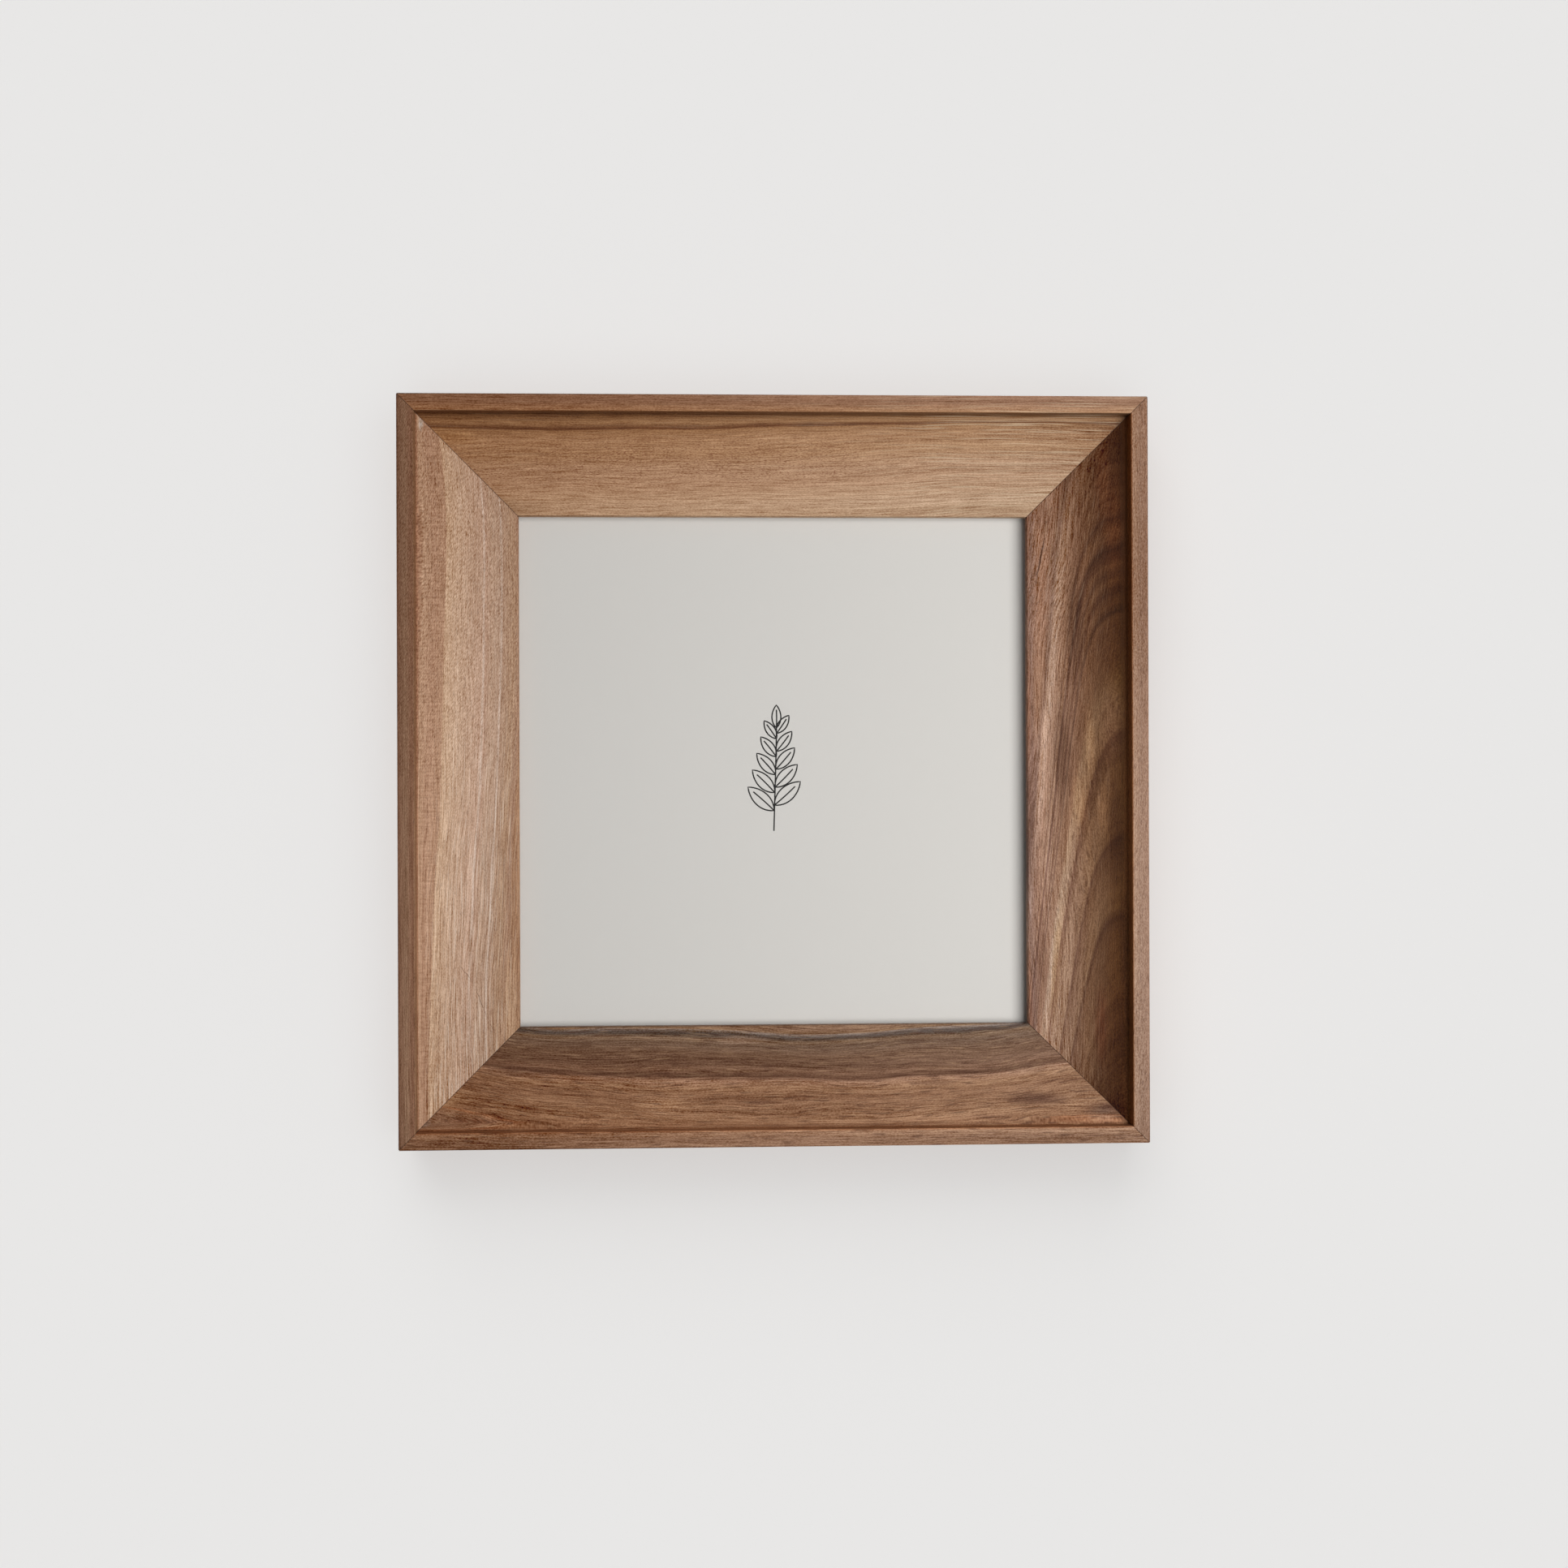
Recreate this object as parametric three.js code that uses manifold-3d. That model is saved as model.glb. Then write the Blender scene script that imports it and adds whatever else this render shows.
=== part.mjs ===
// A square picture frame in solid wood, hung on a wall by one ring at its back.
// Four mitred rails carry a narrow raised rim and a wide face that slopes down to the picture. Steel V-nails
// hold the mitres from behind. Glass, print, card and backing board lie in the rails' rebate, kept in by
// eight turn buttons, each free to turn on its screw.
//
// Sizes are in millimetres. Everything is drawn as it is seen from the front, with x to the right, y up and
// z towards the viewer. The wall is z = 0, and the origin is the point on it where the picture hook holds
// the ring. The last lines stand the frame upright in a world whose z is up.

import * as THREE from 'three';
import { mergeVertices } from 'three/addons/utils/BufferGeometryUtils.js';
import Module from 'manifold-3d';

// Sheets: glass, print, card and board are all cut to one size
const sheetSize = 200;
const sheetPlay = 1.5; // from a sheet's edge to the wall of the rebate
const glassThickness = 2;
const printThickness = 0.3;
const cardThickness = 2;
const boardThickness = 3.2;
const layerGap = 0.2; // between one layer of the stack and the next
const glassChamfer = 0.3;

// Rail section
const railWidth = 44;
const rimWidth = 6.5;
const rimHeight = 5; // from the outer end of the sloping face up to the top of the rim
const faceDrop = 10; // from the outer end of the sloping face down to the sight edge
const lipThickness = 3.5; // wood in front of the rebate, at the sight edge
const rebateWidth = 4.5;
const outerArris = 0.8;
const rimArris = 0.5;
const stepFillet = 0.4;
const sightArris = 0.6;
const backArris = 0.4;
const mitreGap = 0.2;

// V-nails, two in each mitre
const nailLeg = 4.6;
const nailThickness = 0.6;
const nailHalfAngle = 50; // degrees from the mitre line to each leg
const nailHeight = 10;
const nailSink = 0.4; // how far its edge lies below the back of the rail
const nailClearance = 0.15;
const nailInsets = { outer: 12, inner: 29 }; // from the outer edges of both rails

// Turn buttons
const buttonThickness = 1;
const buttonHubRadius = 5;
const buttonTipRadius = 3;
const buttonReach = 15; // from the centre of the hub to the centre of the tip
const buttonInset = 6.5; // from the screw to the wall of the rebate
const buttonSpacing = 120; // between the two buttons of one rail
const buttonHoleClearance = 0.3;
const seatGap = 0.1; // below each piece that lies on the back of the rails

// Pan-head wood screws
const screwRadius = 1.4;
const screwLength = 11;
const screwTip = 3;
const headRadius = 2.9;
const headHeight = 1.7;
const headRim = 0.5; // straight edge below the dome of the head
const recessWidth = 0.8;
const recessLength = 3.2;
const recessDepth = 1;
const pilotClearance = 0.15;

// Ring hanger
const ringWire = 1; // radius of the wire
const ringWidth = 16; // between the centre lines of its sides
const ringStraight = 8; // from the bar to where the round end begins
const ringCorner = 2; // bend between the bar and a side
const ringSplit = 0.5; // between the two ends of the wire, inside the strap
const hangerInset = 20; // from the top edge of the frame to the bar of the ring
const strapThickness = 0.8;
const strapWidth = 9;
const strapLength = 14; // from the bar to the round end
const strapShoulder = 4.2; // length over which the folded strip comes down flat
const strapScrewInset = 8.8; // from the bar to the screw
const loopClearance = 0.15;
const strapHoleClearance = 0.2;

// Wall bumpers
const bumperRadius = 6;
const bumperThickness = 4.5;
const bumperRounding = 1.4;
const bumperInset = 15; // from both outer edges

// Worked out from the sizes above
const rebateSize = sheetSize + 2 * sheetPlay;
const sightSize = rebateSize - 2 * rebateWidth;
const frameSize = sightSize + 2 * railWidth;
const half = frameSize / 2;
const stackDepth = glassThickness + printThickness + cardThickness + boardThickness + 5 * layerGap;
const railDepth = stackDepth + lipThickness + faceDrop + rimHeight;
const rebateInset = railWidth - rebateWidth; // from the outer edge to the wall of the rebate
const backPlane = bumperThickness + seatGap; // where the backs of the rails lie
const ringTop = ringStraight + ringWidth / 2; // from the bar's centre to the centre of the round end
const hookDrop = hangerInset - (ringTop - ringWire); // the hook's point below the top edge
const centreY = hookDrop - half;

const wood = (name, color) => new THREE.MeshStandardMaterial({ name, color, roughness: 0.55, metalness: 0 });
const materials = {
  lightWood: wood('oiled elm, sapwood', 0xb08a68),
  darkWood: wood('oiled elm, heartwood', 0x7d5a43),
  glass: new THREE.MeshStandardMaterial({
    name: 'float glass', color: 0xeef3f1, roughness: 0.05, metalness: 0, transparent: true, opacity: 0.3,
  }),
  paper: new THREE.MeshStandardMaterial({ name: 'uncoated paper', color: 0xd6d3ce, roughness: 0.9, metalness: 0 }),
  card: new THREE.MeshStandardMaterial({ name: 'grey card', color: 0x9b958b, roughness: 0.95, metalness: 0 }),
  board: new THREE.MeshStandardMaterial({ name: 'hardboard', color: 0x7b5b3f, roughness: 0.8, metalness: 0 }),
  steel: new THREE.MeshStandardMaterial({ name: 'nickel-plated steel', color: 0xb9b6ae, roughness: 0.3, metalness: 1 }),
  rubber: new THREE.MeshStandardMaterial({ name: 'grey rubber', color: 0x4a4a48, roughness: 0.9, metalness: 0 }),
};

// Solid geometry

const wasm = await Module();
wasm.setup();

// A closed geometry as a solid that can be cut and joined
function solid(geometry) {
  const bare = geometry.clone();
  bare.deleteAttribute('normal');
  bare.deleteAttribute('uv');
  const merged = mergeVertices(bare, 1e-4);
  return new wasm.Manifold(new wasm.Mesh({
    numProp: 3,
    vertProperties: new Float32Array(merged.attributes.position.array),
    triVerts: new Uint32Array(merged.index.array),
  }));
}

// A solid as a geometry with flat faces
function geometryOf(body) {
  const { vertProperties, triVerts } = body.getMesh();
  const geometry = new THREE.BufferGeometry();
  geometry.setAttribute('position', new THREE.BufferAttribute(new Float32Array(vertProperties), 3));
  geometry.setIndex(new THREE.BufferAttribute(new Uint32Array(triVerts), 1));
  const flat = geometry.toNonIndexed();
  flat.computeVertexNormals();
  return flat;
}

const cutAway = (geometry, tools) =>
  geometryOf(tools.reduce((body, tool) => body.subtract(solid(tool)), solid(geometry)));

// An outline with rounded corners, from corners given as [x, y, rounding]
function roundedShape(corners) {
  const shape = new THREE.Shape();
  corners.forEach(([x, y, rounding], i) => {
    const here = new THREE.Vector2(x, y);
    const towards = (other) =>
      new THREE.Vector2(other[0], other[1]).sub(here).setLength(rounding).add(here);
    const start = towards(corners.at(i - 1));
    const end = towards(corners[(i + 1) % corners.length]);
    if (i === 0) shape.moveTo(start.x, start.y);
    else shape.lineTo(start.x, start.y);
    if (rounding > 0) shape.quadraticCurveTo(x, y, end.x, end.y);
  });
  return shape;
}

const extrude = (shape, depth, curveSegments = 4) =>
  new THREE.ExtrudeGeometry(shape, { depth, steps: 1, bevelEnabled: false, curveSegments });

// Rails

// The section of a rail: x is the distance in from the outer edge, y the height above its back
function railSection() {
  const faceFoot = railDepth - rimHeight;
  const sightFront = faceFoot - faceDrop;
  return roundedShape([
    [0, 0, backArris],
    [rebateInset, 0, backArris],
    [rebateInset, stackDepth, 0],
    [railWidth, stackDepth, backArris],
    [railWidth, sightFront, sightArris],
    [rimWidth, faceFoot, stepFillet],
    [rimWidth, railDepth, rimArris],
    [0, railDepth, outerArris],
  ]);
}

// The top rail about the frame's centre, each end cut along its 45 degree mitre
function mitredRail() {
  const rail = extrude(railSection(), 1);
  const position = rail.attributes.position;
  for (let i = 0; i < position.count; i++) {
    const inset = position.getX(i);
    const height = position.getY(i);
    const side = position.getZ(i) < 0.5 ? 1 : -1;
    const end = half - inset - mitreGap / Math.SQRT2;
    position.setXYZ(i, side * end, half - inset, backPlane + height);
  }
  return rail;
}

// A V-nail's outline, its point on the mitre line towards +x. The pocket for it is the same, grown all round.
function nailShape(growth) {
  const angle = THREE.MathUtils.degToRad(nailHalfAngle);
  const halfThickness = nailThickness / 2 + growth;
  const reach = nailLeg + growth;
  const along = new THREE.Vector2(-Math.cos(angle), Math.sin(angle));
  const outward = new THREE.Vector2(Math.sin(angle), Math.cos(angle));
  const point = halfThickness / Math.sin(angle);
  const outerEnd = along.clone().multiplyScalar(reach).addScaledVector(outward, halfThickness);
  const innerEnd = along.clone().multiplyScalar(reach).addScaledVector(outward, -halfThickness);
  return new THREE.Shape([
    new THREE.Vector2(point, 0),
    outerEnd,
    innerEnd,
    new THREE.Vector2(-point, 0),
    new THREE.Vector2(innerEnd.x, -innerEnd.y),
    new THREE.Vector2(outerEnd.x, -outerEnd.y),
  ]);
}

// The geometry of a V-nail, or of its pocket, at one corner of the frame
function nailAt(inset, turn, growth) {
  const sink = growth > 0 ? -1 : nailSink; // a pocket runs out through the back of the rail
  const deepEnd = nailSink + nailHeight + growth;
  const nail = extrude(nailShape(growth), deepEnd - sink);
  nail.rotateZ(Math.PI / 4 + turn);
  const corner = new THREE.Vector2(half - inset, half - inset).rotateAround(new THREE.Vector2(), turn);
  nail.translate(corner.x, corner.y, backPlane + sink);
  return nail;
}

// Screws

// A screw with the underside of its head at the origin, its point towards +z
function screwGeometry() {
  const outline = new THREE.Path();
  outline.moveTo(0, -screwLength);
  outline.lineTo(screwRadius, -screwLength + screwTip);
  outline.lineTo(screwRadius, 0);
  outline.lineTo(headRadius, 0);
  outline.lineTo(headRadius, headRim);
  outline.absellipse(0, headRim, headRadius, headHeight - headRim, 0, Math.PI / 2, false);
  const turned = new THREE.LatheGeometry(outline.getPoints(4), 16);
  const slots = [0, Math.PI / 2].map((turn) => {
    const slot = new THREE.BoxGeometry(recessLength, 2 * recessDepth, recessWidth);
    slot.rotateY(turn);
    slot.translate(0, headHeight, 0);
    return slot;
  });
  const screw = cutAway(turned, slots);
  screw.rotateX(-Math.PI / 2);
  return screw;
}

// The hole that a screw fills, with its mouth at the origin and a little beyond
function pilotHole() {
  const radius = screwRadius + pilotClearance;
  const depth = screwLength + pilotClearance;
  const mouth = 1;
  const hole = new THREE.CylinderGeometry(radius, radius, depth + mouth, 16);
  hole.rotateX(Math.PI / 2);
  hole.translate(0, 0, (depth - mouth) / 2);
  return hole;
}

// Turn buttons

// A drop-shaped plate about its pivot, its tip towards -y
function buttonGeometry() {
  const flare = Math.asin((buttonHubRadius - buttonTipRadius) / buttonReach);
  const shape = new THREE.Shape();
  shape.absarc(0, 0, buttonHubRadius, -flare, Math.PI + flare, false);
  shape.absarc(0, -buttonReach, buttonTipRadius, Math.PI + flare, 2 * Math.PI - flare, false);
  const pivot = new THREE.Path();
  pivot.absarc(0, 0, screwRadius + buttonHoleClearance, 0, 2 * Math.PI, true);
  shape.holes.push(pivot);
  return extrude(shape, buttonThickness, 16);
}

// Ring hanger

// A round wire bent to a D, its bar on the x axis and its round end towards +y
function ringGeometry() {
  const side = ringWidth / 2;
  const bend = side - ringCorner;
  const outline = new THREE.Path();
  outline.moveTo(ringSplit / 2, 0);
  outline.lineTo(bend, 0);
  outline.absarc(bend, ringCorner, ringCorner, -Math.PI / 2, 0, false);
  outline.absarc(0, ringStraight, side, 0, Math.PI, false);
  outline.absarc(-bend, ringCorner, ringCorner, Math.PI, 1.5 * Math.PI, false);
  outline.lineTo(-ringSplit / 2, 0);
  const points = outline.getSpacedPoints(60).map(({ x, y }) => new THREE.Vector3(x, y, 0));
  const wire = new THREE.Shape();
  wire.absarc(0, 0, ringWire, 0, 2 * Math.PI, false);
  return new THREE.ExtrudeGeometry(wire, {
    extrudePath: new THREE.CatmullRomCurve3(points),
    steps: 72,
    curveSegments: 5,
  });
}

const loopRadius = ringWire + loopClearance + strapThickness;

// The side view of the folded strap: x runs up the rail, y out from its back, and the bar lies above x = 0
function strapSection() {
  const fold = 2 * strapThickness;
  const top = 2 * loopRadius;
  const shape = new THREE.Shape();
  shape.moveTo(-strapLength, 0);
  shape.lineTo(0, 0);
  shape.absarc(0, loopRadius, loopRadius, -Math.PI / 2, Math.PI / 2, false);
  shape.bezierCurveTo(-strapShoulder / 2, top, -strapShoulder / 2, fold, -strapShoulder, fold);
  shape.lineTo(-strapLength, fold);
  const eye = new THREE.Path();
  eye.absarc(0, loopRadius, loopRadius - strapThickness, 0, 2 * Math.PI, true);
  shape.holes.push(eye);
  return shape;
}

// The strap about the bar's centre, trimmed to a round end and bored for its screw
function strapGeometry() {
  const strip = extrude(strapSection(), strapWidth, 8);
  // Section x, section y and depth become y, -z and -x
  const axes = new THREE.Matrix4().makeBasis(
    new THREE.Vector3(0, 1, 0), new THREE.Vector3(0, 0, -1), new THREE.Vector3(-1, 0, 0));
  strip.applyMatrix4(axes);
  strip.translate(strapWidth / 2, 0, loopRadius);
  const round = strapWidth / 2;
  const plan = new THREE.Shape();
  plan.moveTo(round, loopRadius + 1);
  plan.lineTo(-round, loopRadius + 1);
  plan.absarc(0, round - strapLength, round, Math.PI, 2 * Math.PI, false);
  const trim = extrude(plan, 4 * loopRadius, 10);
  trim.translate(0, 0, -2 * loopRadius);
  const holeRadius = screwRadius + strapHoleClearance;
  const hole = new THREE.CylinderGeometry(holeRadius, holeRadius, 4 * loopRadius, 16);
  hole.rotateX(Math.PI / 2);
  hole.translate(0, -strapScrewInset, 0);
  return geometryOf(solid(strip).intersect(solid(trim)).subtract(solid(hole)));
}

// Sheets

function plate(thickness, chamfer = 0) {
  if (chamfer === 0) return new THREE.BoxGeometry(sheetSize, sheetSize, thickness);
  const edge = sheetSize / 2;
  const face = edge - chamfer;
  const shape = new THREE.Shape([
    new THREE.Vector2(-face, -face), new THREE.Vector2(face, -face),
    new THREE.Vector2(face, face), new THREE.Vector2(-face, face),
  ]);
  const glass = new THREE.ExtrudeGeometry(shape, {
    depth: thickness - 2 * chamfer,
    bevelEnabled: true,
    bevelSegments: 1,
    bevelSize: chamfer,
    bevelThickness: chamfer,
  });
  glass.translate(0, 0, chamfer - thickness / 2);
  return glass;
}

function bumperGeometry() {
  const outline = new THREE.Path();
  outline.moveTo(0, 0);
  outline.lineTo(bumperRadius - bumperRounding, 0);
  outline.quadraticCurveTo(bumperRadius, 0, bumperRadius, bumperRounding);
  outline.lineTo(bumperRadius, bumperThickness);
  outline.lineTo(0, bumperThickness);
  const pad = new THREE.LatheGeometry(outline.getPoints(4), 24);
  pad.rotateX(Math.PI / 2);
  return pad;
}

// Assembly

const frame = new THREE.Group();
frame.position.y = centreY;

function add(name, geometry, material, x = 0, y = 0, z = 0) {
  const mesh = new THREE.Mesh(geometry, material);
  mesh.name = name;
  mesh.position.set(x, y, z);
  frame.add(mesh);
  return mesh;
}

const turned = (x, y, turn) => new THREE.Vector2(x, y).rotateAround(new THREE.Vector2(), turn);

// Rails, in the order of a quarter turn each, anticlockwise from the top
const rails = [
  { name: 'top', material: materials.lightWood, buttons: ['right', 'left'] },
  { name: 'left', material: materials.lightWood, buttons: ['upper', 'lower'] },
  { name: 'bottom', material: materials.darkWood, buttons: ['left', 'right'] },
  { name: 'right', material: materials.darkWood, buttons: ['lower', 'upper'] },
];
const corners = ['top_right', 'top_left', 'bottom_left', 'bottom_right'];
const buttonY = half - rebateInset + buttonInset;
const buttonX = buttonSpacing / 2;
const strapScrewY = half - hangerInset - strapScrewInset;

rails.forEach(({ name, material, buttons }, quarter) => {
  const turn = quarter * Math.PI / 2;

  // Each rail is cut for the V-nails at both of its ends and for its own screws
  const tools = [];
  for (const inset of Object.values(nailInsets)) {
    tools.push(nailAt(inset, 0, nailClearance), nailAt(inset, Math.PI / 2, nailClearance));
  }
  const holes = [[buttonX, buttonY], [-buttonX, buttonY]];
  if (name === 'top') holes.push([0, strapScrewY]);
  for (const [x, y] of holes) {
    tools.push(pilotHole().translate(x, y, backPlane));
  }
  const rail = add(`rail_${name}`, cutAway(mitredRail(), tools), material);
  rail.rotation.z = turn;

  for (const [place, inset] of Object.entries(nailInsets)) {
    add(`v_nail_${corners[quarter]}_${place}`, nailAt(inset, turn, 0), materials.steel);
  }

  buttons.forEach((which, i) => {
    const at = turned(i === 0 ? buttonX : -buttonX, buttonY, turn);
    const plateBack = backPlane - seatGap - buttonThickness;
    const button = add(`turn_button_${name}_${which}`, buttonGeometry(), materials.steel, at.x, at.y, plateBack);
    button.rotation.z = turn;
    add(`button_screw_${name}_${which}`, screwGeometry(), materials.steel, at.x, at.y, plateBack - seatGap);
  });
});

// The stack in the rebate, from the glass at the front to the board at the back
let layerFront = backPlane + stackDepth;
for (const [name, thickness, material, chamfer] of [
  ['glass_pane', glassThickness, materials.glass, glassChamfer],
  ['print_sheet', printThickness, materials.paper, 0],
  ['backing_card', cardThickness, materials.card, 0],
  ['backing_board', boardThickness, materials.board, 0],
]) {
  layerFront -= layerGap;
  add(name, plate(thickness, chamfer), material, 0, 0, layerFront - thickness / 2);
  layerFront -= thickness;
}

// The ring stands up, as it does on the hook
const barY = half - hangerInset;
const barZ = backPlane - seatGap - loopRadius;
add('hanger_strap', strapGeometry(), materials.steel, 0, barY, barZ);
add('hanger_ring', ringGeometry(), materials.steel, 0, barY, barZ);
const strapBack = backPlane - seatGap - 2 * strapThickness;
add('hanger_screw', screwGeometry(), materials.steel, 0, strapScrewY, strapBack - seatGap);

for (const [name, side] of [['left', -1], ['right', 1]]) {
  add(`bumper_${name}`, bumperGeometry(), materials.rubber, side * (half - bumperInset), bumperInset - half);
}

const pictureFrame = new THREE.Group();
pictureFrame.add(frame);
pictureFrame.rotation.x = Math.PI / 2;

export default pictureFrame;
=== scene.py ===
import math

import bpy
from mathutils import Matrix, Vector


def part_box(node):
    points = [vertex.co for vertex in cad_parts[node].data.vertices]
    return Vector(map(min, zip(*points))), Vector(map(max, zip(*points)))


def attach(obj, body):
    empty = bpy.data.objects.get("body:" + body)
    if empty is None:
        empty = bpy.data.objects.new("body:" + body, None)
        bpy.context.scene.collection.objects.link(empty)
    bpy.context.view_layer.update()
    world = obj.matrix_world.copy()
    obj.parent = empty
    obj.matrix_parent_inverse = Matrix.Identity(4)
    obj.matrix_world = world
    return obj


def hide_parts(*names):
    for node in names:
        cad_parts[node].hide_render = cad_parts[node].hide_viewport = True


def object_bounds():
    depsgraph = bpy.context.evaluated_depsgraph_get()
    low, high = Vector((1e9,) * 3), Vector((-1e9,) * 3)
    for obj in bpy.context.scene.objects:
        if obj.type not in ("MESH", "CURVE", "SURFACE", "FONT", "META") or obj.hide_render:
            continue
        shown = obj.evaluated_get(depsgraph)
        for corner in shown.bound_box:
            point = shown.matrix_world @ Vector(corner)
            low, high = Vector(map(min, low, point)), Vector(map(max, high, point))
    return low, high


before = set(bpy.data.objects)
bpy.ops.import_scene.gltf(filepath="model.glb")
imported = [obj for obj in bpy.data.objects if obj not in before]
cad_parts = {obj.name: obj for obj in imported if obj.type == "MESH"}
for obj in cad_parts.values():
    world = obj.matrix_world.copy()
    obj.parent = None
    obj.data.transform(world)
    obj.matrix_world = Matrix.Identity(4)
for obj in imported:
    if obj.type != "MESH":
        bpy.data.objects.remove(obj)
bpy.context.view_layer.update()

mm = 0.001


def linearColour(hexText):  # sRGB hex to linear red, green, blue and alpha
    channels = [int(hexText[i:i + 2], 16) / 255 for i in (1, 3, 5)]
    return [c / 12.92 if c <= 0.04045 else ((c + 0.055) / 1.055) ** 2.4 for c in channels] + [1.0]


def addNode(tree, kind, settings=None, inputs=None):
    node = tree.nodes.new(kind)
    for name, value in (settings or {}).items():
        if name == "stops":  # a colour ramp's stops, each a position and a hex colour
            ramp = node.color_ramp
            while len(ramp.elements) < len(value):
                ramp.elements.new(0.5)
            for element, (position, colour) in zip(ramp.elements, value):
                element.position = position
                element.color = linearColour(colour)
        elif name == "curve":  # a curve's points, each a pair from 0 to 1
            points = node.mapping.curves[0].points
            while len(points) < len(value):
                points.new(0.5, 0.5)
            for point, place in zip(points, value):
                point.location = place
            node.mapping.update()
        else:
            setattr(node, name, value)
    for key, value in (inputs or {}).items():
        if isinstance(value, bpy.types.Node):  # a node stands for its first output in use
            value = next(socket for socket in value.outputs if socket.enabled)
        if isinstance(value, bpy.types.NodeSocket):
            tree.links.new(value, node.inputs[key])
        else:
            node.inputs[key].default_value = value
    return node


def newMaterial(name):
    material = bpy.data.materials.new(name)
    material.use_nodes = True
    material.node_tree.nodes.clear()
    return material, material.node_tree


def plainMaterial(name, colour, roughness):
    material, tree = newMaterial(name)
    surface = addNode(tree, "ShaderNodeBsdfPrincipled", inputs={
        "Base Color": linearColour(colour), "Roughness": roughness})
    addNode(tree, "ShaderNodeOutputMaterial", inputs={0: surface})
    return material


# Camera: a 50 mm lens at about 0.85 m, a little to the left of the frame and level with its middle

cameraSet = {
    "lens": 49.4,
    "place": (-33.5, -836.9, -141.5),
    "turn": (90.036, 0.198, -2.593),
}
cameraData = bpy.data.cameras.new("camera")
cameraData.lens = cameraSet["lens"]
cameraData.sensor_width = 36
camera = bpy.data.objects.new("camera", cameraData)
camera.location = [value * mm for value in cameraSet["place"]]
camera.rotation_euler = [math.radians(value) for value in cameraSet["turn"]]
bpy.context.collection.objects.link(camera)
bpy.context.scene.camera = camera
bpy.context.scene.view_settings.view_transform = "Standard"

# Wall, lamps and world

stageSet = {
    "wall": "#E8E7E6",
    "wallSize": 8.0,  # metres
    "wallGap": 0.5,  # mm behind the bumpers, so that no two faces lie in one plane
    # Both softboxes stand to the right, in metres away, degrees out from the wall and degrees below the middle
    "key": {"distance": 1.2, "rise": 57, "below": 3, "size": 0.75, "watts": 14.0},
    "sheet": {"distance": 1.0, "rise": 60, "below": 3, "size": 0.75, "watts": 9.9},
    "wallLamps": {  # where each one stands, its width in degrees and its strength
        "front": ((0, -2, 0), 1.2, 0.546),
        "round": ((0, -2, 0), 90, 0.2),
        "top": ((-0.3, -1.2, 1.6), 50, 0.2),
    },
    "worldFront": 0.17,  # strengths of the soft fill in front of the wall and behind it
    "worldBack": 0.85,
    "worldTurn": 0.25,  # how far behind the wall's plane a ray points where the back's fill is full
    "roomFront": 0.15,  # what gloss mirrors in front, then behind: a floor under a ceiling
    "floor": 0.22,
    "ceiling": 1.15,
    "horizon": (-0.35, 0.5),
    "roomTurn": 0.3,
}
low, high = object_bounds()
centre = (low + high) / 2


def makeWall():
    bpy.ops.mesh.primitive_plane_add(
        size=stageSet["wallSize"], location=(0, stageSet["wallGap"] * mm, centre.z),
        rotation=(math.pi / 2, 0, 0))
    wall = bpy.context.object
    wall.name = "wall"
    material, tree = newMaterial("matt wall paint")
    # Only what the camera sees from the front is wall; light from behind reaches the frame's back
    paint = addNode(tree, "ShaderNodeBsdfDiffuse", inputs={"Color": linearColour(stageSet["wall"])})
    clear = addNode(tree, "ShaderNodeBsdfTransparent")
    path = addNode(tree, "ShaderNodeLightPath")
    side = addNode(tree, "ShaderNodeNewGeometry")
    seen = addNode(tree, "ShaderNodeMath", {"operation": "SUBTRACT", "use_clamp": True},
                   {0: path.outputs["Is Camera Ray"], 1: side.outputs["Backfacing"]})
    shown = addNode(tree, "ShaderNodeMixShader", inputs={0: seen, 1: clear, 2: paint})
    addNode(tree, "ShaderNodeOutputMaterial", inputs={0: shown.outputs[0]})
    wall.data.materials.append(material)
    return wall


def addLamp(name, kind, energy, size, place):
    data = bpy.data.lights.new(name, kind)
    data.energy = energy
    if kind == "AREA":
        data.size = size
    else:
        data.angle = size
    lamp = bpy.data.objects.new(name, data)
    lamp.location = place
    lamp.rotation_euler = (centre - place).to_track_quat("-Z", "Y").to_euler()
    bpy.context.collection.objects.link(lamp)
    return lamp


def linkLamp(lamp, state, *receivers):
    # The wall's soft shadow, the sheet's narrow one and the light on the wood are set apart
    group = bpy.data.collections.new(lamp.name + " receivers")
    for index, receiver in enumerate(receivers):
        group.objects.link(receiver)
        group.collection_objects[index].light_linking.link_state = state
    lamp.light_linking.receiver_collection = group


def softbox(name):
    s = stageSet[name]
    rise, below = math.radians(s["rise"]), math.radians(s["below"])
    direction = Vector((math.cos(rise) * math.cos(below), -math.sin(rise), -math.cos(rise) * math.sin(below)))
    return addLamp(name, "AREA", s["watts"], s["size"], centre + direction * s["distance"])


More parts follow.
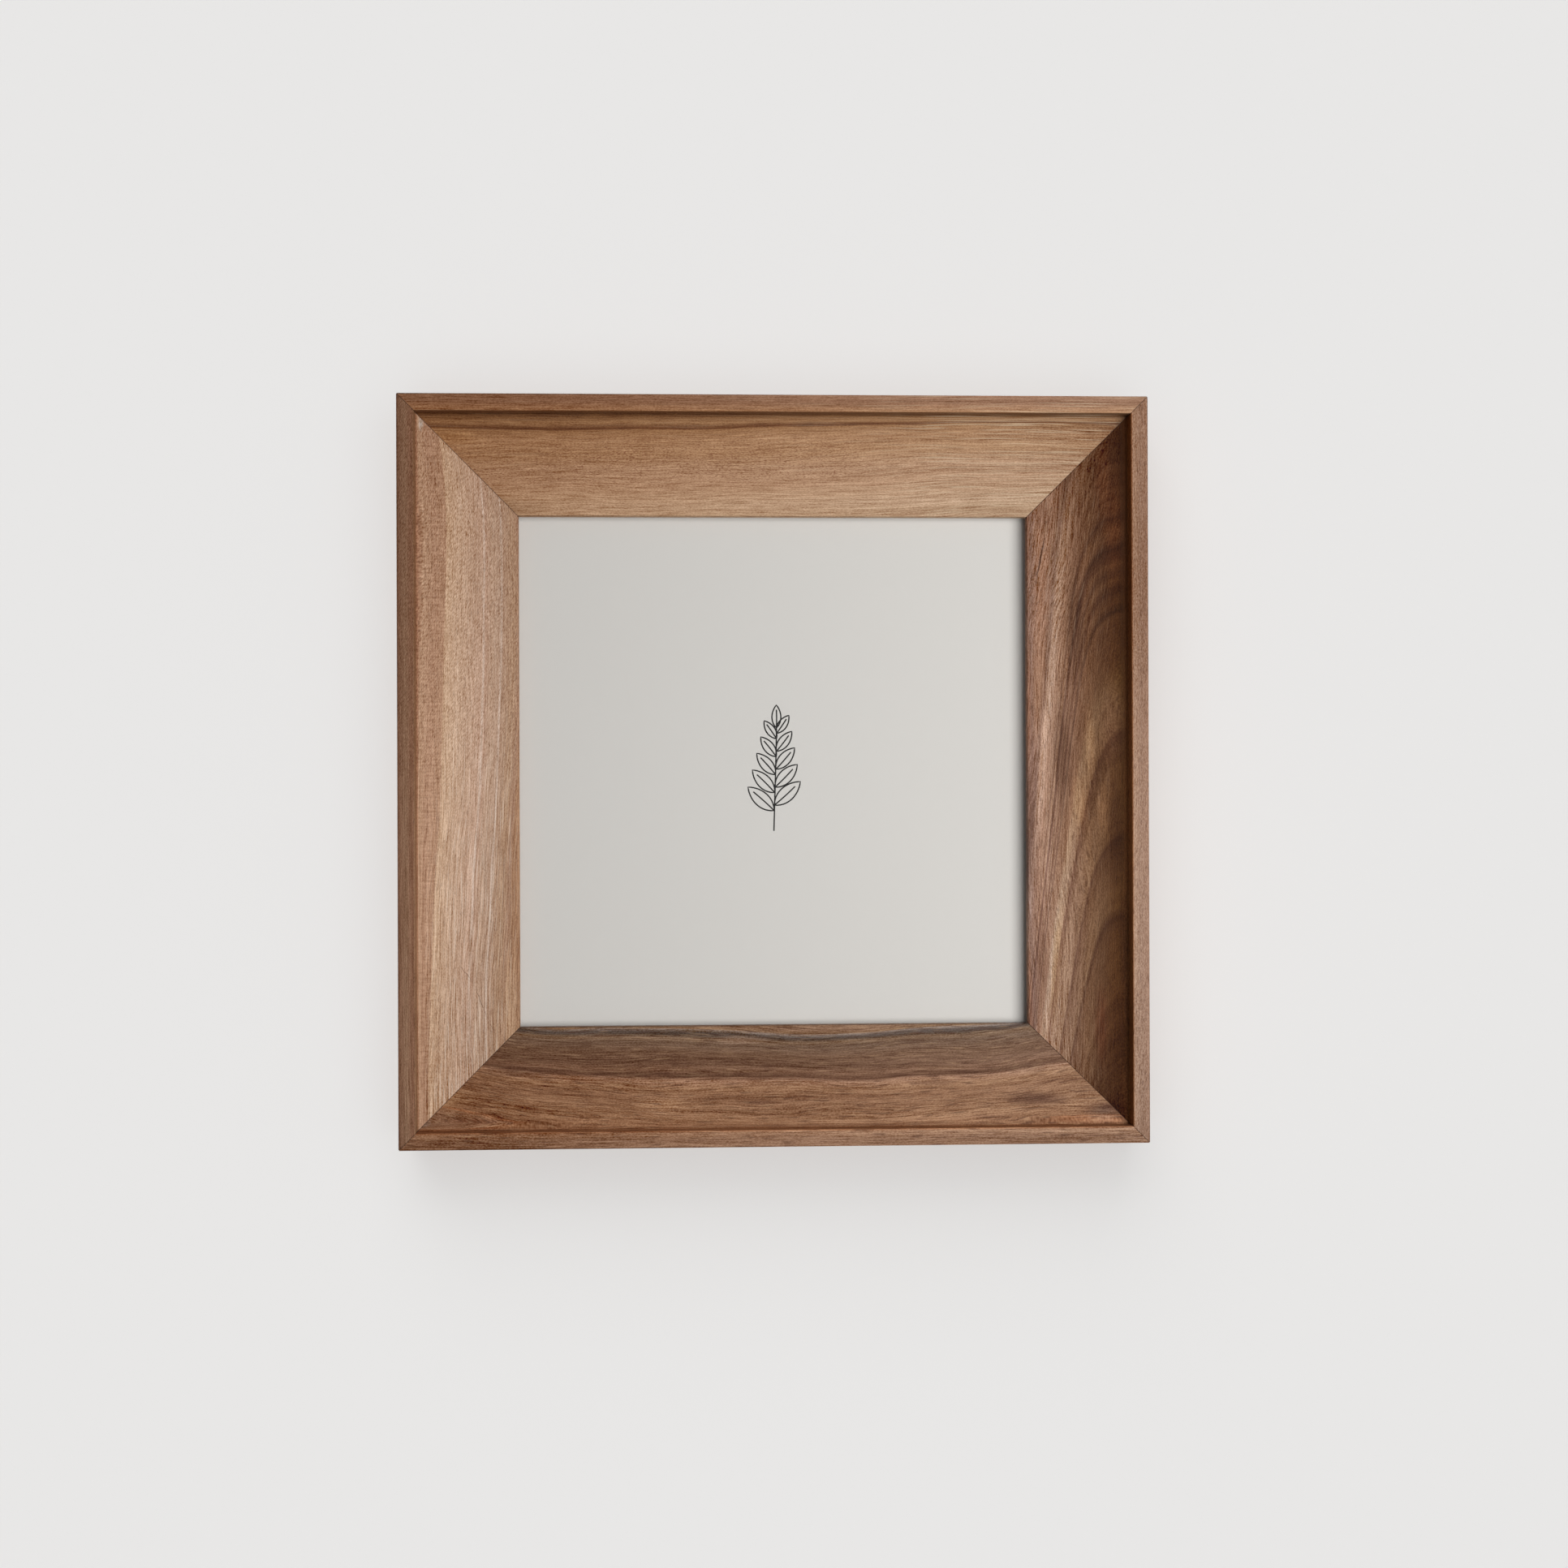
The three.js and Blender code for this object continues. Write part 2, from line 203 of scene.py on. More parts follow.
def makeLight(wall):
    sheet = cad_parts["print_sheet"]
    linkLamp(softbox("key"), "EXCLUDE", wall, sheet)
    linkLamp(softbox("sheet"), "INCLUDE", sheet)
    for name, (place, width, strength) in stageSet["wallLamps"].items():
        lamp = addLamp("wall " + name, "SUN", strength * math.pi, math.radians(width), centre + Vector(place))
        linkLamp(lamp, "INCLUDE", wall)

    world = bpy.data.worlds.new("studio")
    bpy.context.scene.world = world
    world.use_nodes = True
    tree = world.node_tree
    tree.nodes.clear()
    coords = addNode(tree, "ShaderNodeTexCoord")
    axes = addNode(tree, "ShaderNodeSeparateXYZ", inputs={0: coords.outputs["Generated"]})
    # A soft fill in front, brighter behind the wall plane, so that the sides and the back are lit too
    level = addNode(tree, "ShaderNodeMapRange", inputs={
        "Value": axes.outputs["Y"], "From Min": 0.0, "From Max": stageSet["worldTurn"],
        "To Min": stageSet["worldFront"], "To Max": stageSet["worldBack"]})
    fill = addNode(tree, "ShaderNodeBackground", inputs={"Strength": level.outputs[0]})
    backdrop = addNode(tree, "ShaderNodeBackground", inputs={"Color": linearColour(stageSet["wall"])})
    # Behind the wall plane a dark floor under a bright ceiling, so that bare metal has something to mirror
    height = addNode(tree, "ShaderNodeMapRange", inputs={
        "Value": axes.outputs["Z"], "From Min": stageSet["horizon"][0], "From Max": stageSet["horizon"][1],
        "To Min": stageSet["floor"], "To Max": stageSet["ceiling"]})
    behind = addNode(tree, "ShaderNodeMapRange", inputs={
        "Value": axes.outputs["Y"], "From Min": 0.0, "From Max": stageSet["roomTurn"]})
    mirrored = addNode(tree, "ShaderNodeMix", inputs={0: behind, 2: stageSet["roomFront"], 3: height})
    room = addNode(tree, "ShaderNodeBackground", inputs={
        "Color": linearColour(stageSet["wall"]), "Strength": mirrored})
    path = addNode(tree, "ShaderNodeLightPath")
    direct = addNode(tree, "ShaderNodeMath", {"operation": "MAXIMUM"},
                     {0: path.outputs["Is Camera Ray"], 1: path.outputs["Is Transmission Ray"]})
    seen = addNode(tree, "ShaderNodeMixShader", inputs={0: direct, 1: fill, 2: backdrop})
    sky = addNode(tree, "ShaderNodeMixShader", inputs={0: path.outputs["Is Glossy Ray"], 1: seen, 2: room})
    addNode(tree, "ShaderNodeOutputWorld", inputs={0: sky})


makeLight(makeWall())
print("stage done")

# Rails in oiled elm. Each material reads millimetres along its rail, in from the outer edge and in depth,
# whichever way the rail lies. Along runs from -141 to 141, and a share of the length from 0 to 1.

elm = {
    "bendReach": 40,  # mm of shift across the rail for the whole height of a bend curve
    "fadeReach": 2,  # a fade curve's 0.5 is the written colour
    "rimEdge": (6.8, 9.5),  # the bands of the face bend, and those of the rim run straight
    "backEdge": (-5.6, -4.8),  # mm in depth
    "backBands": (0.6, 12),  # on the back the bands are wider and start further in
    "wander": (0.016, 0.06, 0.06),  # turns per mm of the slow waves in the bands, along, across and in depth
    "noise": (0.3, 0.7),  # the range in which nearly all of a noise lies
    "jitter": 0.9,  # mm by which the edge of a mark wanders, and the turns per mm of that
    "jitterPace": 0.35,
    "spotEdge": 0.9,  # share of a mark over which it fades out
    "lineEdge": 0.6,
    "dashEdge": 0.1,
    "tint": (0.76, 1.0, 1.24),  # how far red, green and blue follow the tone of the grain
    "roughness": 0.56,
    "specular": 0.22,  # the oil has soaked in, so the sheen is low
    "bump": 0.35,
    "bumpDepth": 0.2,  # mm
    "pore": "#4B2E1F",
}
# What each rail has: its turn and place, the warmth of its two ends, the colours across its width, and curves
# of bend and of painted light and shade along it, on the face and on the rim. Each grain layer has the size of
# a streak along and across in mm, strength, then slant in degrees, a curve of its strength along the rail and
# the stretch across the rail where it shows.
# Spots are along, across, half length, half width, colour and strength. Lines have two ends and a half width.
railSets = {
    "top": {
        "turn": 0, "edge": 5, "middle": 0, "warm": (0.08, -0.03),
        "stops": [
            (0.0, "#966D53"), (0.07, "#936A4F"), (0.14, "#A97C59"), (0.152, "#633E21"), (0.17, "#734D2C"),
            (0.24, "#9B724E"), (0.285, "#62371A"), (0.298, "#966C48"), (0.38, "#AA805D"), (0.5, "#AB825F"),
            (0.62, "#AF8869"), (0.75, "#B38C6D"), (0.85, "#B79273"), (0.93, "#BB987A"), (1.0, "#B79475")],
        "bend": [(0.0, 0.51), (0.12, 0.50), (0.4, 0.515), (0.66, 0.5625), (0.83, 0.60), (1.0, 0.57)],
        "fade": [
            (0.05, 0.426), (0.15, 0.435), (0.25, 0.465), (0.35, 0.507), (0.45, 0.521), (0.55, 0.548),
            (0.65, 0.536), (0.75, 0.538), (0.85, 0.509), (0.95, 0.316)],
        "wave": 0.6, "swirl": 0.4,
        "grain": [
            {"size": (0.7, 0.3), "strength": 0.88},
            {"size": (9, 0.34), "strength": 1.49, "detail": 1},
            {"size": (60, 0.7), "strength": 0.66, "detail": 2},
            {"size": (160, 1.3), "strength": 1.1, "detail": 1,
             "along": [(0, 0.15), (0.5, 0.25), (0.72, 0.9), (1, 1)]},
            {"size": (1.0, 6), "strength": 0.11, "across": (12, 30)},
        ],
        "pores": {"size": (1.0, 0.3), "cut": 0.60, "strength": 0.6, "colour": "#763F23", "across": (16, 33),
                  "along": [(0, 0.3), (0.2, 1), (0.55, 0.9), (0.7, 0.35), (1, 0.4)]},
        "flecksAndGlints": {"size": (26, 0.34), "cut": 0.6, "strength": 0.4, "colour": "#DCC6A8",
                   "along": [(0, 0.15), (0.6, 0.25), (0.75, 1), (1, 1)]},
        "rimLightAndShade": [(0.0, 0.35), (0.35, 0.42), (0.45, 0.46), (0.75, 0.57), (1.0, 0.6)],
        "spots": [
            (-108, 40, 14, 5, "#8A6440", 0.35), (-121, 15, 15, 5, "#A8794A", 0.4),
            (23, 27.6, 0.4, 1.3, "#7A4426", 0.6), (21, 18.4, 2.6, 0.4, "#7A4426", 0.55),
            (-98, 41, 16, 4, "#8A6648", 0.35), (85, 41.5, 34, 3, "#967252", 0.4)],
        "lines": [],
    },
    "left": {
        "turn": 90, "edge": 141, "middle": 136, "warm": (0.01, 0.02),
        "stops": [
            (0.0, "#7A533D"), (0.07, "#8C6950"), (0.13, "#885E46"), (0.146, "#7A583D"), (0.156, "#9D6E51"),
            (0.175, "#B48E71"), (0.26, "#AE8569"), (0.354, "#B0876A"), (0.366, "#C5A182"), (0.45, "#C4A185"),
            (0.55, "#BF9C82"), (0.662, "#BE9A82"), (0.674, "#CBB09D"), (0.688, "#B7927A"), (0.74, "#B7957C"),
            (0.81, "#B08E76"), (0.822, "#C0A592"), (0.836, "#AC8970"), (0.92, "#AA8669"), (0.97, "#A17B61"),
            (1.0, "#9E7556")],
        "bend": [
            (0.03, 0.625), (0.18, 0.6125), (0.29, 0.58), (0.38, 0.555), (0.45, 0.52), (0.555, 0.495),
            (0.777, 0.4575), (0.86, 0.47), (0.95, 0.5275)],
        "fade": [
            (0.05, 0.432), (0.15, 0.454), (0.25, 0.511), (0.35, 0.536), (0.45, 0.543), (0.55, 0.529),
            (0.65, 0.509), (0.75, 0.485), (0.85, 0.454), (0.95, 0.404)],
        "wave": 0.4, "swirl": 0.5,
        "grain": [
            {"size": (0.7, 0.28), "strength": 0.85},
            {"size": (8, 0.34), "strength": 1.5, "detail": 1, "along": [(0, 1), (0.5, 0.85), (1, 0.6)]},
            {"size": (1.3, 0.27), "strength": 1.2, "slant": 22,
             "along": [(0, 0), (0.42, 0.2), (0.55, 0.9), (1, 1)]},
            {"size": (80, 0.75), "strength": 1.2, "detail": 2,
             "along": [(0, 1), (0.45, 1), (0.6, 0.35), (1, 0.3)]},
            {"size": (26, 0.42), "strength": 1.3, "detail": 1,
             "along": [(0, 1), (0.4, 0.9), (0.55, 0.2), (1, 0)]},
            {"size": (0.7, 5), "strength": 0.59, "across": (6, 17)},
        ],
        "pores": {"size": (1.8, 0.34), "cut": 0.62, "strength": 0.4, "along": [(0, 0.8), (0.5, 0.5), (1, 0.7)]},
        "flecksAndGlints": {"size": (14, 0.34), "cut": 0.6, "strength": 0.4, "colour": "#E8D6C4", "across": (17, 44),
                   "along": [(0, 1), (0.45, 0.8), (0.6, 0.3), (1, 0.25)]},
        "rimLightAndShade": [(0.0, 0.56), (0.4, 0.56), (0.6, 0.49), (1.0, 0.46)],
        "spots": [
            (72, 29, 40, 4, "#A07C60", 0.3), (-92, 40.5, 34, 5, "#C6A383", 0.5),
            (130.5, 8.6, 3.0, 1.2, "#C4BAB0", 0.75), (-91, 33.4, 2.6, 1.1, "#8A6043", 0.5)],
        "lines": [
            (-72, 21.4, -79.7, 27.0, 0.16, "#5A3A26", 0.85), (-79.7, 27.0, -94.4, 32.5, 0.18, "#5A3A26", 0.85),
            (-94, 32.4, -100.5, 35.6, 0.2, "#6E4A33", 0.6)],
    },
    "bottom": {
        "turn": 180, "edge": 277, "middle": 0, "warm": (-0.03, 0.06),
        "stops": [
            # The stops at 0.146 and 0.16, on the step, are lightened: painted light over the shadow line there.
            (0.0, "#956F55"), (0.07, "#916B52"), (0.13, "#A47B5E"), (0.146, "#A7704C"), (0.16, "#8F6446"),
            (0.25, "#9E7455"), (0.35, "#936A4D"), (0.43, "#8C6347"), (0.5, "#9D7354"), (0.555, "#A57B60"),
            (0.585, "#603E2A"), (0.63, "#805C45"), (0.68, "#73523D"), (0.77, "#73533D"), (0.86, "#745946"),
            (0.9, "#84674F"), (0.925, "#5C4A3E"), (0.945, "#5A4B43"), (0.965, "#8B7668"), (0.975, "#8B694C"),
            (1.0, "#8B684F")],
        "bend": [
            (0.0, 0.40), (0.118, 0.405), (0.195, 0.4625), (0.31, 0.505), (0.387, 0.5375), (0.556, 0.53),
            (0.72, 0.485), (0.81, 0.46), (0.89, 0.3775)],
        "fade": [
            (0.05, 0.428), (0.15, 0.553), (0.25, 0.582), (0.35, 0.578), (0.45, 0.491), (0.55, 0.459),
            (0.65, 0.445), (0.75, 0.433), (0.85, 0.413), (0.95, 0.422)],
        "wave": 0.9, "swirl": 0.8,
        "grain": [
            {"size": (0.7, 0.3), "strength": 1.23},
            {"size": (10, 0.36), "strength": 1.7, "detail": 1},
            {"size": (70, 0.85), "strength": 1.45, "detail": 2},
            {"size": (150, 2.6), "strength": 1.38, "detail": 2},
        ],
        "pores": {"size": (7, 0.34), "cut": 0.60, "strength": 0.55, "colour": "#4E2A18"},
        "flecksAndGlints": {"size": (7, 0.4), "cut": 0.64, "strength": 0.2, "colour": "#C8A27C"},
        "rimLightAndShade": [(0.0, 0.5), (0.25, 0.5), (0.45, 0.55), (0.6, 0.49), (1.0, 0.37)],
        "spots": [
            (98, 27.5, 18, 3.2, "#5E3C2A", 0.5), (125, 18.5, 12, 5, "#B08662", 0.8),
            (42, 15, 18, 4.5, "#BC916F", 0.75), (98, 8, 16, 2, "#A87E5E", 0.5),
            (100, 14, 14, 2.5, "#A87E5E", 0.45), (-126, 12.5, 12, 3.2, "#5E3826", 0.8),
            (-99, 16, 17, 3.6, "#563222", 0.8), (13, 38.5, 14, 2.5, "#9A7A64", 0.5),
            (-95, 28, 16, 3, "#8C6A52", 0.3), (134, 9.2, 5.5, 2.4, "#8E857E", 0.6),
            (113, 9.9, 15, 2.1, "#7C4527", 0.5), (7, 15.7, 14, 1.2, "#613D2C", 0.5),
            (-60, 22.2, 12, 1.5, "#65412F", 0.5), (-82, 9.7, 11, 1.6, "#6E4630", 0.5),
            (-124, 10, 8, 4, "#8A776A", 0.2)],
        "lines": [],
    },
    "right": {
        "turn": 270, "edge": 141, "middle": -136, "warm": (0.05, -0.01),
        # Across the face the colours darken towards the step: painted shade of the rim's shadow over the wood's
        # own bands.
        "stops": [
            (0.0, "#9C7862"), (0.07, "#977661"), (0.13, "#A6836B"), (0.146, "#955D32"), (0.16, "#8E5930"),
            (0.22, "#6A4624"), (0.3, "#67462A"), (0.4, "#75563E"), (0.5, "#8C6B52"), (0.6, "#9E7E6A"),
            (0.7, "#B79782"), (0.8, "#C6A896"), (0.9, "#D4B19D"), (0.97, "#AF948A"), (1.0, "#AE8875")],
        "bend": [(0.0, 0.5), (1.0, 0.5)],
        "lean": [(0.0, 0.95), (0.17, 0.74), (0.36, 0.54), (0.5, 0.5), (1.0, 0.5)],
        "fade": [
            (0.05, 0.193), (0.15, 0.338), (0.25, 0.422), (0.35, 0.504), (0.45, 0.576), (0.55, 0.57),
            (0.65, 0.61), (0.75, 0.602), (0.85, 0.504), (0.95, 0.137)],
        "wave": 1.2, "swirl": 1.2,
        "rings": {"axis": 9.7, "along": (-80, 20), "cubed": (0.0055, 0), "squared": (0, 0.16), "size": 6,
                  "strength": 0.9, "depth": 0.8, "wobble": 2.5,
                  "from": -260, "to": 140, "stops": [
                      (0.0, "#D9C4B2"), (0.225, "#CDB29E"), (0.275, "#B09A8E"), (0.305, "#F4E8DC"),
                      (0.34, "#F4E8DC"), (0.37, "#D2B8A2"), (0.408, "#D8C2AE"), (0.414, "#9A745C"),
                      (0.422, "#E0CAB4"), (0.434, "#D8BEA8"), (0.4405, "#7E543C"), (0.452, "#A9826A"),
                      (0.458, "#ECD8C4"), (0.4637, "#94694F"), (0.4725, "#E2CCB6"), (0.4838, "#9E765E"),
                      (0.495, "#DEC6B0"), (0.5035, "#86604A"), (0.5088, "#D0B49C"), (0.55, "#D6BDA6"),
                      (0.57, "#FFFAEC"), (0.615, "#F0E0CC"), (0.62, "#A8826A"), (0.655, "#E8D6C2"),
                      (0.7125, "#EEDECA"), (0.7175, "#976F58"), (0.73, "#CDB49E"), (0.78, "#F0E2D0"),
                      (0.7887, "#976F58"), (0.8, "#CDB49E"), (0.85, "#E8D6C4"), (1.0, "#D8C4B0")]},
        "grain": [
            {"size": (0.7, 0.3), "strength": 1.15},
            {"size": (9, 0.38), "strength": 1.0, "detail": 1},
            {"size": (9, 0.38), "strength": 0.9, "detail": 1, "across": (21, 61)},
            {"size": (60, 0.9), "strength": 1.35, "detail": 2, "across": (19, 59)},
        ],
        "pores": {"size": (2.6, 0.36), "cut": 0.61, "strength": 0.4, "colour": "#4A2716"},
        "flecksAndGlints": {"size": (8, 0.45), "cut": 0.63, "strength": 0.22, "colour": "#C09C7E", "across": (18, 44)},
        "rimLightAndShade": [
            (0.0, 0.39), (0.12, 0.41), (0.25, 0.34), (0.36, 0.43), (0.5, 0.55), (0.85, 0.55), (1.0, 0.43)],
        "spots": [
            # The dark spots at 25, 68 and 100 mm along, by the step, are painted shade; the paler ones at -92
            # and -110 mm are painted light there.
            (25, 11.5, 34, 4.5, "#4C2E1C", 0.55), (98, 17, 22, 3.6, "#6C3F28", 0.75),
            (68, 8.5, 40, 3, "#4A2A18", 0.5), (-92, 11, 32, 6, "#8E6040", 0.6),
            (-110, 16, 26, 4, "#9A6A4A", 0.4), (-18, 13, 22, 7, "#8E6C56", 0.4),
            (100, 10.5, 34, 7, "#4A260F", 0.6), (-10, 20.8, 18, 2.6, "#B8906E", 0.5),
            (13, 24.5, 16, 4, "#B8906E", 0.5), (16, 16.5, 14, 3, "#A8805F", 0.4),
            (-56, 26, 30, 5, "#63442F", 0.65), (28, 43, 46, 7, "#7C5A4A", 0.6),
            (75, 39, 36, 5, "#7C5A48", 0.5), (-5, 31, 30, 5, "#6B4B38", 0.65),
            (-98, 38, 12, 4, "#7A5A4A", 0.4), (-30, 39.5, 34, 4, "#C9A78F", 0.7)],
        "lines": [
            (-93, 36.5, -70, 41, 0.55, "#453C44", 0.6), (-92, 33.5, -56, 38, 0.7, "#B9A69C", 0.4),
            (-10, 24, 48, 31.5, 2.4, "#B8906E", 0.25), (46, 31.5, 106, 35.5, 2.2, "#C29D74", 0.4),
            (-50, 36, -14, 41, 2.2, "#B8947A", 0.4)],
    },
}
railWidth = (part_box("rail_left")[1].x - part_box("rail_left")[0].x) / mm
railLength = (high.x - low.x) / mm


def elmMaterial(side, s):
    # Oiled elm, planed and sanded: bands of brown and tan, fine fibres, dark pores in short dashes and pale
    # flecks, partly the wood's own and partly painted glint, under a thin coat of oil with a low sheen. The
    # bands also carry painted light and shade, at the step and along the rail. Real fibres are far finer: they
    # are drawn a third of a millimetre wide, so that they show at all.
    material, tree = newMaterial("oiled elm " + side)
    coords = addNode(tree, "ShaderNodeTexCoord")
    rail = addNode(tree, "ShaderNodeMapping", {"vector_type": "POINT"}, {
        "Vector": coords.outputs["Object"], "Location": (s["middle"], s["edge"], 0),
        "Rotation": (math.pi / 2, 0, math.radians(s["turn"])), "Scale": (1000, 1000, 1000)})
    place = addNode(tree, "ShaderNodeSeparateXYZ", inputs={0: rail})
    share = addNode(tree, "ShaderNodeMapRange", inputs={
        "Value": place.outputs["X"], "From Min": -railLength / 2, "From Max": railLength / 2})

    # The bands of colour wander across the face, and run straight on the rim
    onFace = addNode(tree, "ShaderNodeMapRange", inputs={
        "Value": place.outputs["Y"], "From Min": elm["rimEdge"][0], "From Max": elm["rimEdge"][1]})
    bend = addNode(tree, "ShaderNodeFloatCurve", {"curve": s["bend"]}, {"Value": share})
    curved = addNode(tree, "ShaderNodeMath", {"operation": "MULTIPLY_ADD"},
                     {0: bend, 1: elm["bendReach"], 2: -elm["bendReach"] / 2})
    slow = addNode(tree, "ShaderNodeVectorMath", {"operation": "MULTIPLY"}, {0: rail, 1: elm["wander"]})
    wander = addNode(tree, "ShaderNodeTexNoise", inputs={"Vector": slow, "Scale": 1, "Detail": 1})
    dark, light = elm["noise"]
    waves, swirl = (addNode(tree, "ShaderNodeMapRange", inputs={
        "Value": wander, "From Min": dark, "From Max": light, "To Min": -reach, "To Max": reach})
        for reach in (s["wave"], s["swirl"]))
    shift = addNode(tree, "ShaderNodeMath", {"operation": "ADD"}, {0: curved, 1: waves})
    ring = addNode(tree, "ShaderNodeMath", {"operation": "MULTIPLY_ADD"},
                   {0: shift, 1: onFace, 2: place.outputs["Y"]})
    # The back is another cut through the board, without the colours of the front's edges and the painted shade
    # they carry at the step
    onBack = addNode(tree, "ShaderNodeMapRange", inputs={
        "Value": place.outputs["Z"], "From Min": elm["backEdge"][0], "From Max": elm["backEdge"][1]})
    inner = addNode(tree, "ShaderNodeMath", {"operation": "MULTIPLY_ADD"},
                    {0: ring, 1: elm["backBands"][0], 2: elm["backBands"][1]})
    bands = addNode(tree, "ShaderNodeMix", inputs={0: onBack, 2: ring, 3: inner})
    bandPlace = addNode(tree, "ShaderNodeMath", {"operation": "DIVIDE"}, {0: bands, 1: railWidth})
    colour = addNode(tree, "ShaderNodeValToRGB", {"stops": s["stops"]}, {0: bandPlace})

    # Knots, patches, streaks and checks, each an ellipse with a worn edge. Some spots by the right rail's step
    # are painted shade and painted light instead.
    nudge = addNode(tree, "ShaderNodeTexNoise", inputs={
        "Vector": rail, "Scale": elm["jitterPace"], "Detail": 4})
    moved = addNode(tree, "ShaderNodeVectorMath", {"operation": "MULTIPLY_ADD"}, {
        0: nudge.outputs["Color"], 1: (elm["jitter"] * 4, elm["jitter"], 0),
        2: (-elm["jitter"] * 2, -elm["jitter"] / 2, 0)})
    worn = addNode(tree, "ShaderNodeVectorMath", {"operation": "ADD"}, {0: rail, 1: moved})
    marks = [(u, v, 0, length, width, shade, strength, elm["spotEdge"])
             for u, v, length, width, shade, strength in s["spots"]]
    for u0, v0, u1, v1, width, shade, strength in s["lines"]:
        turn, length = math.atan2(v1 - v0, u1 - u0), math.hypot(u1 - u0, v1 - v0) / 2
        marks.append(((u0 + u1) / 2, (v0 + v1) / 2, turn, length, width, shade, strength, elm["lineEdge"]))
    for u, v, turn, length, width, shade, strength, edge in marks:
        local = addNode(tree, "ShaderNodeMapping", {"vector_type": "TEXTURE"}, {
            "Vector": worn, "Location": (u, v, 0), "Rotation": (0, 0, turn), "Scale": (length, width, 1e4)})
        reach = addNode(tree, "ShaderNodeVectorMath", {"operation": "LENGTH"}, {0: local})
        mask = addNode(tree, "ShaderNodeMapRange", {"interpolation_type": "SMOOTHSTEP"}, {
            "Value": reach.outputs["Value"], "From Min": 1, "From Max": 1 - edge, "To Max": strength})
        colour = addNode(tree, "ShaderNodeMix", {"data_type": "RGBA"}, {
            0: mask, "A": colour, "B": linearColour(shade)})

    # Fibres follow the grain, which swirls a little
    along = ring
    if "lean" in s:
        lean = addNode(tree, "ShaderNodeFloatCurve", {"curve": s["lean"]}, {"Value": share})
        leaned = addNode(tree, "ShaderNodeMath", {"operation": "MULTIPLY_ADD"},
                         {0: lean, 1: elm["bendReach"], 2: -elm["bendReach"] / 2})
        along = addNode(tree, "ShaderNodeMath", {"operation": "MULTIPLY_ADD"}, {0: leaned, 1: onFace, 2: ring})
    across = addNode(tree, "ShaderNodeMath", {"operation": "ADD"}, {0: along, 1: swirl})
    grainPlace = addNode(tree, "ShaderNodeCombineXYZ",
                         inputs={0: place.outputs["X"], 1: across, 2: place.outputs["Z"]})

    def shown(layer):  # where on the rail a layer shows, from 0 to 1, or None
        mask = None
        if "along" in layer:
            mask = addNode(tree, "ShaderNodeFloatCurve", {"curve": layer["along"]}, {"Value": share})
        if "across" in layer:
            start, stop = layer["across"]
            fade = (stop - start) / 4
            entered = addNode(tree, "ShaderNodeMapRange", inputs={
                "Value": ring, "From Min": start - fade, "From Max": start + fade})
            left = addNode(tree, "ShaderNodeMapRange", inputs={
                "Value": ring, "From Min": stop + fade, "From Max": stop - fade})
            band = addNode(tree, "ShaderNodeMath", {"operation": "MULTIPLY"}, {0: entered, 1: left})
            mask = band if mask is None else addNode(
                tree, "ShaderNodeMath", {"operation": "MULTIPLY"}, {0: mask, 1: band})
        return mask

    def streaks(layer):  # noise drawn out along the grain
        along, wide = layer["size"]
        drawn = addNode(tree, "ShaderNodeMapping", {"vector_type": "TEXTURE"}, {
            "Vector": grainPlace, "Rotation": (0, 0, math.radians(layer.get("slant", 0))),
            "Scale": (along, wide, wide)})
        return addNode(tree, "ShaderNodeTexNoise", inputs={
            "Vector": drawn, "Scale": 1, "Detail": layer.get("detail", 0), "Roughness": 0.6})

    # Painted light and shade along the rail, from the face's fade curve and the rim's curve, where 0.5 is the
    # written colour: mostly darker towards the ends, where the lamp's light falls off, on top of the wood's own
    # changes in tone. On the back neither is painted.
    faceShading = addNode(tree, "ShaderNodeFloatCurve", {"curve": s["fade"]}, {"Value": share})
    rimShading = addNode(tree, "ShaderNodeFloatCurve", {"curve": s["rimLightAndShade"]}, {"Value": share})
    tone = addNode(tree, "ShaderNodeMix", inputs={0: onFace, 2: rimShading, 3: faceShading})
    tone = addNode(tree, "ShaderNodeMix", inputs={0: onBack, 2: tone, 3: 1 / elm["fadeReach"]})
    tone = addNode(tree, "ShaderNodeMath", {"operation": "MULTIPLY"}, {0: tone, 1: elm["fadeReach"]})
    relief = None
    for layer in s["grain"]:
        noise = streaks(layer)
        centred = addNode(tree, "ShaderNodeMath", {"operation": "SUBTRACT"}, {0: noise, 1: 0.5})
        mask = shown(layer)
        if mask:
            centred = addNode(tree, "ShaderNodeMath", {"operation": "MULTIPLY"}, {0: centred, 1: mask})
        tone = addNode(tree, "ShaderNodeMath", {"operation": "MULTIPLY_ADD"},
                       {0: centred, 1: layer["strength"], 2: tone})
        relief = centred if relief is None else addNode(
            tree, "ShaderNodeMath", {"operation": "ADD"}, {0: relief, 1: centred})
    if "rings" in s:  # growth rings cut at a low angle: arches along the rail's middle line, streaks beside it
        rings = s["rings"]
        start, stop = rings["along"]
        off = addNode(tree, "ShaderNodeMath", {"operation": "SUBTRACT"}, {
            0: place.outputs["Y"], 1: rings["axis"]})
        apart = addNode(tree, "ShaderNodeMath", {"operation": "ABSOLUTE"}, {0: off})
        squared = addNode(tree, "ShaderNodeMath", {"operation": "MULTIPLY"}, {0: off, 1: off})
        flat, steep = (addNode(tree, "ShaderNodeMapRange", inputs={
            "Value": place.outputs["X"], "From Min": start, "From Max": stop,
            "To Min": -rings[power][0], "To Max": -rings[power][1]}) for power in ("cubed", "squared"))
        slope = addNode(tree, "ShaderNodeMath", {"operation": "MULTIPLY_ADD"}, {0: apart, 1: flat, 2: steep})
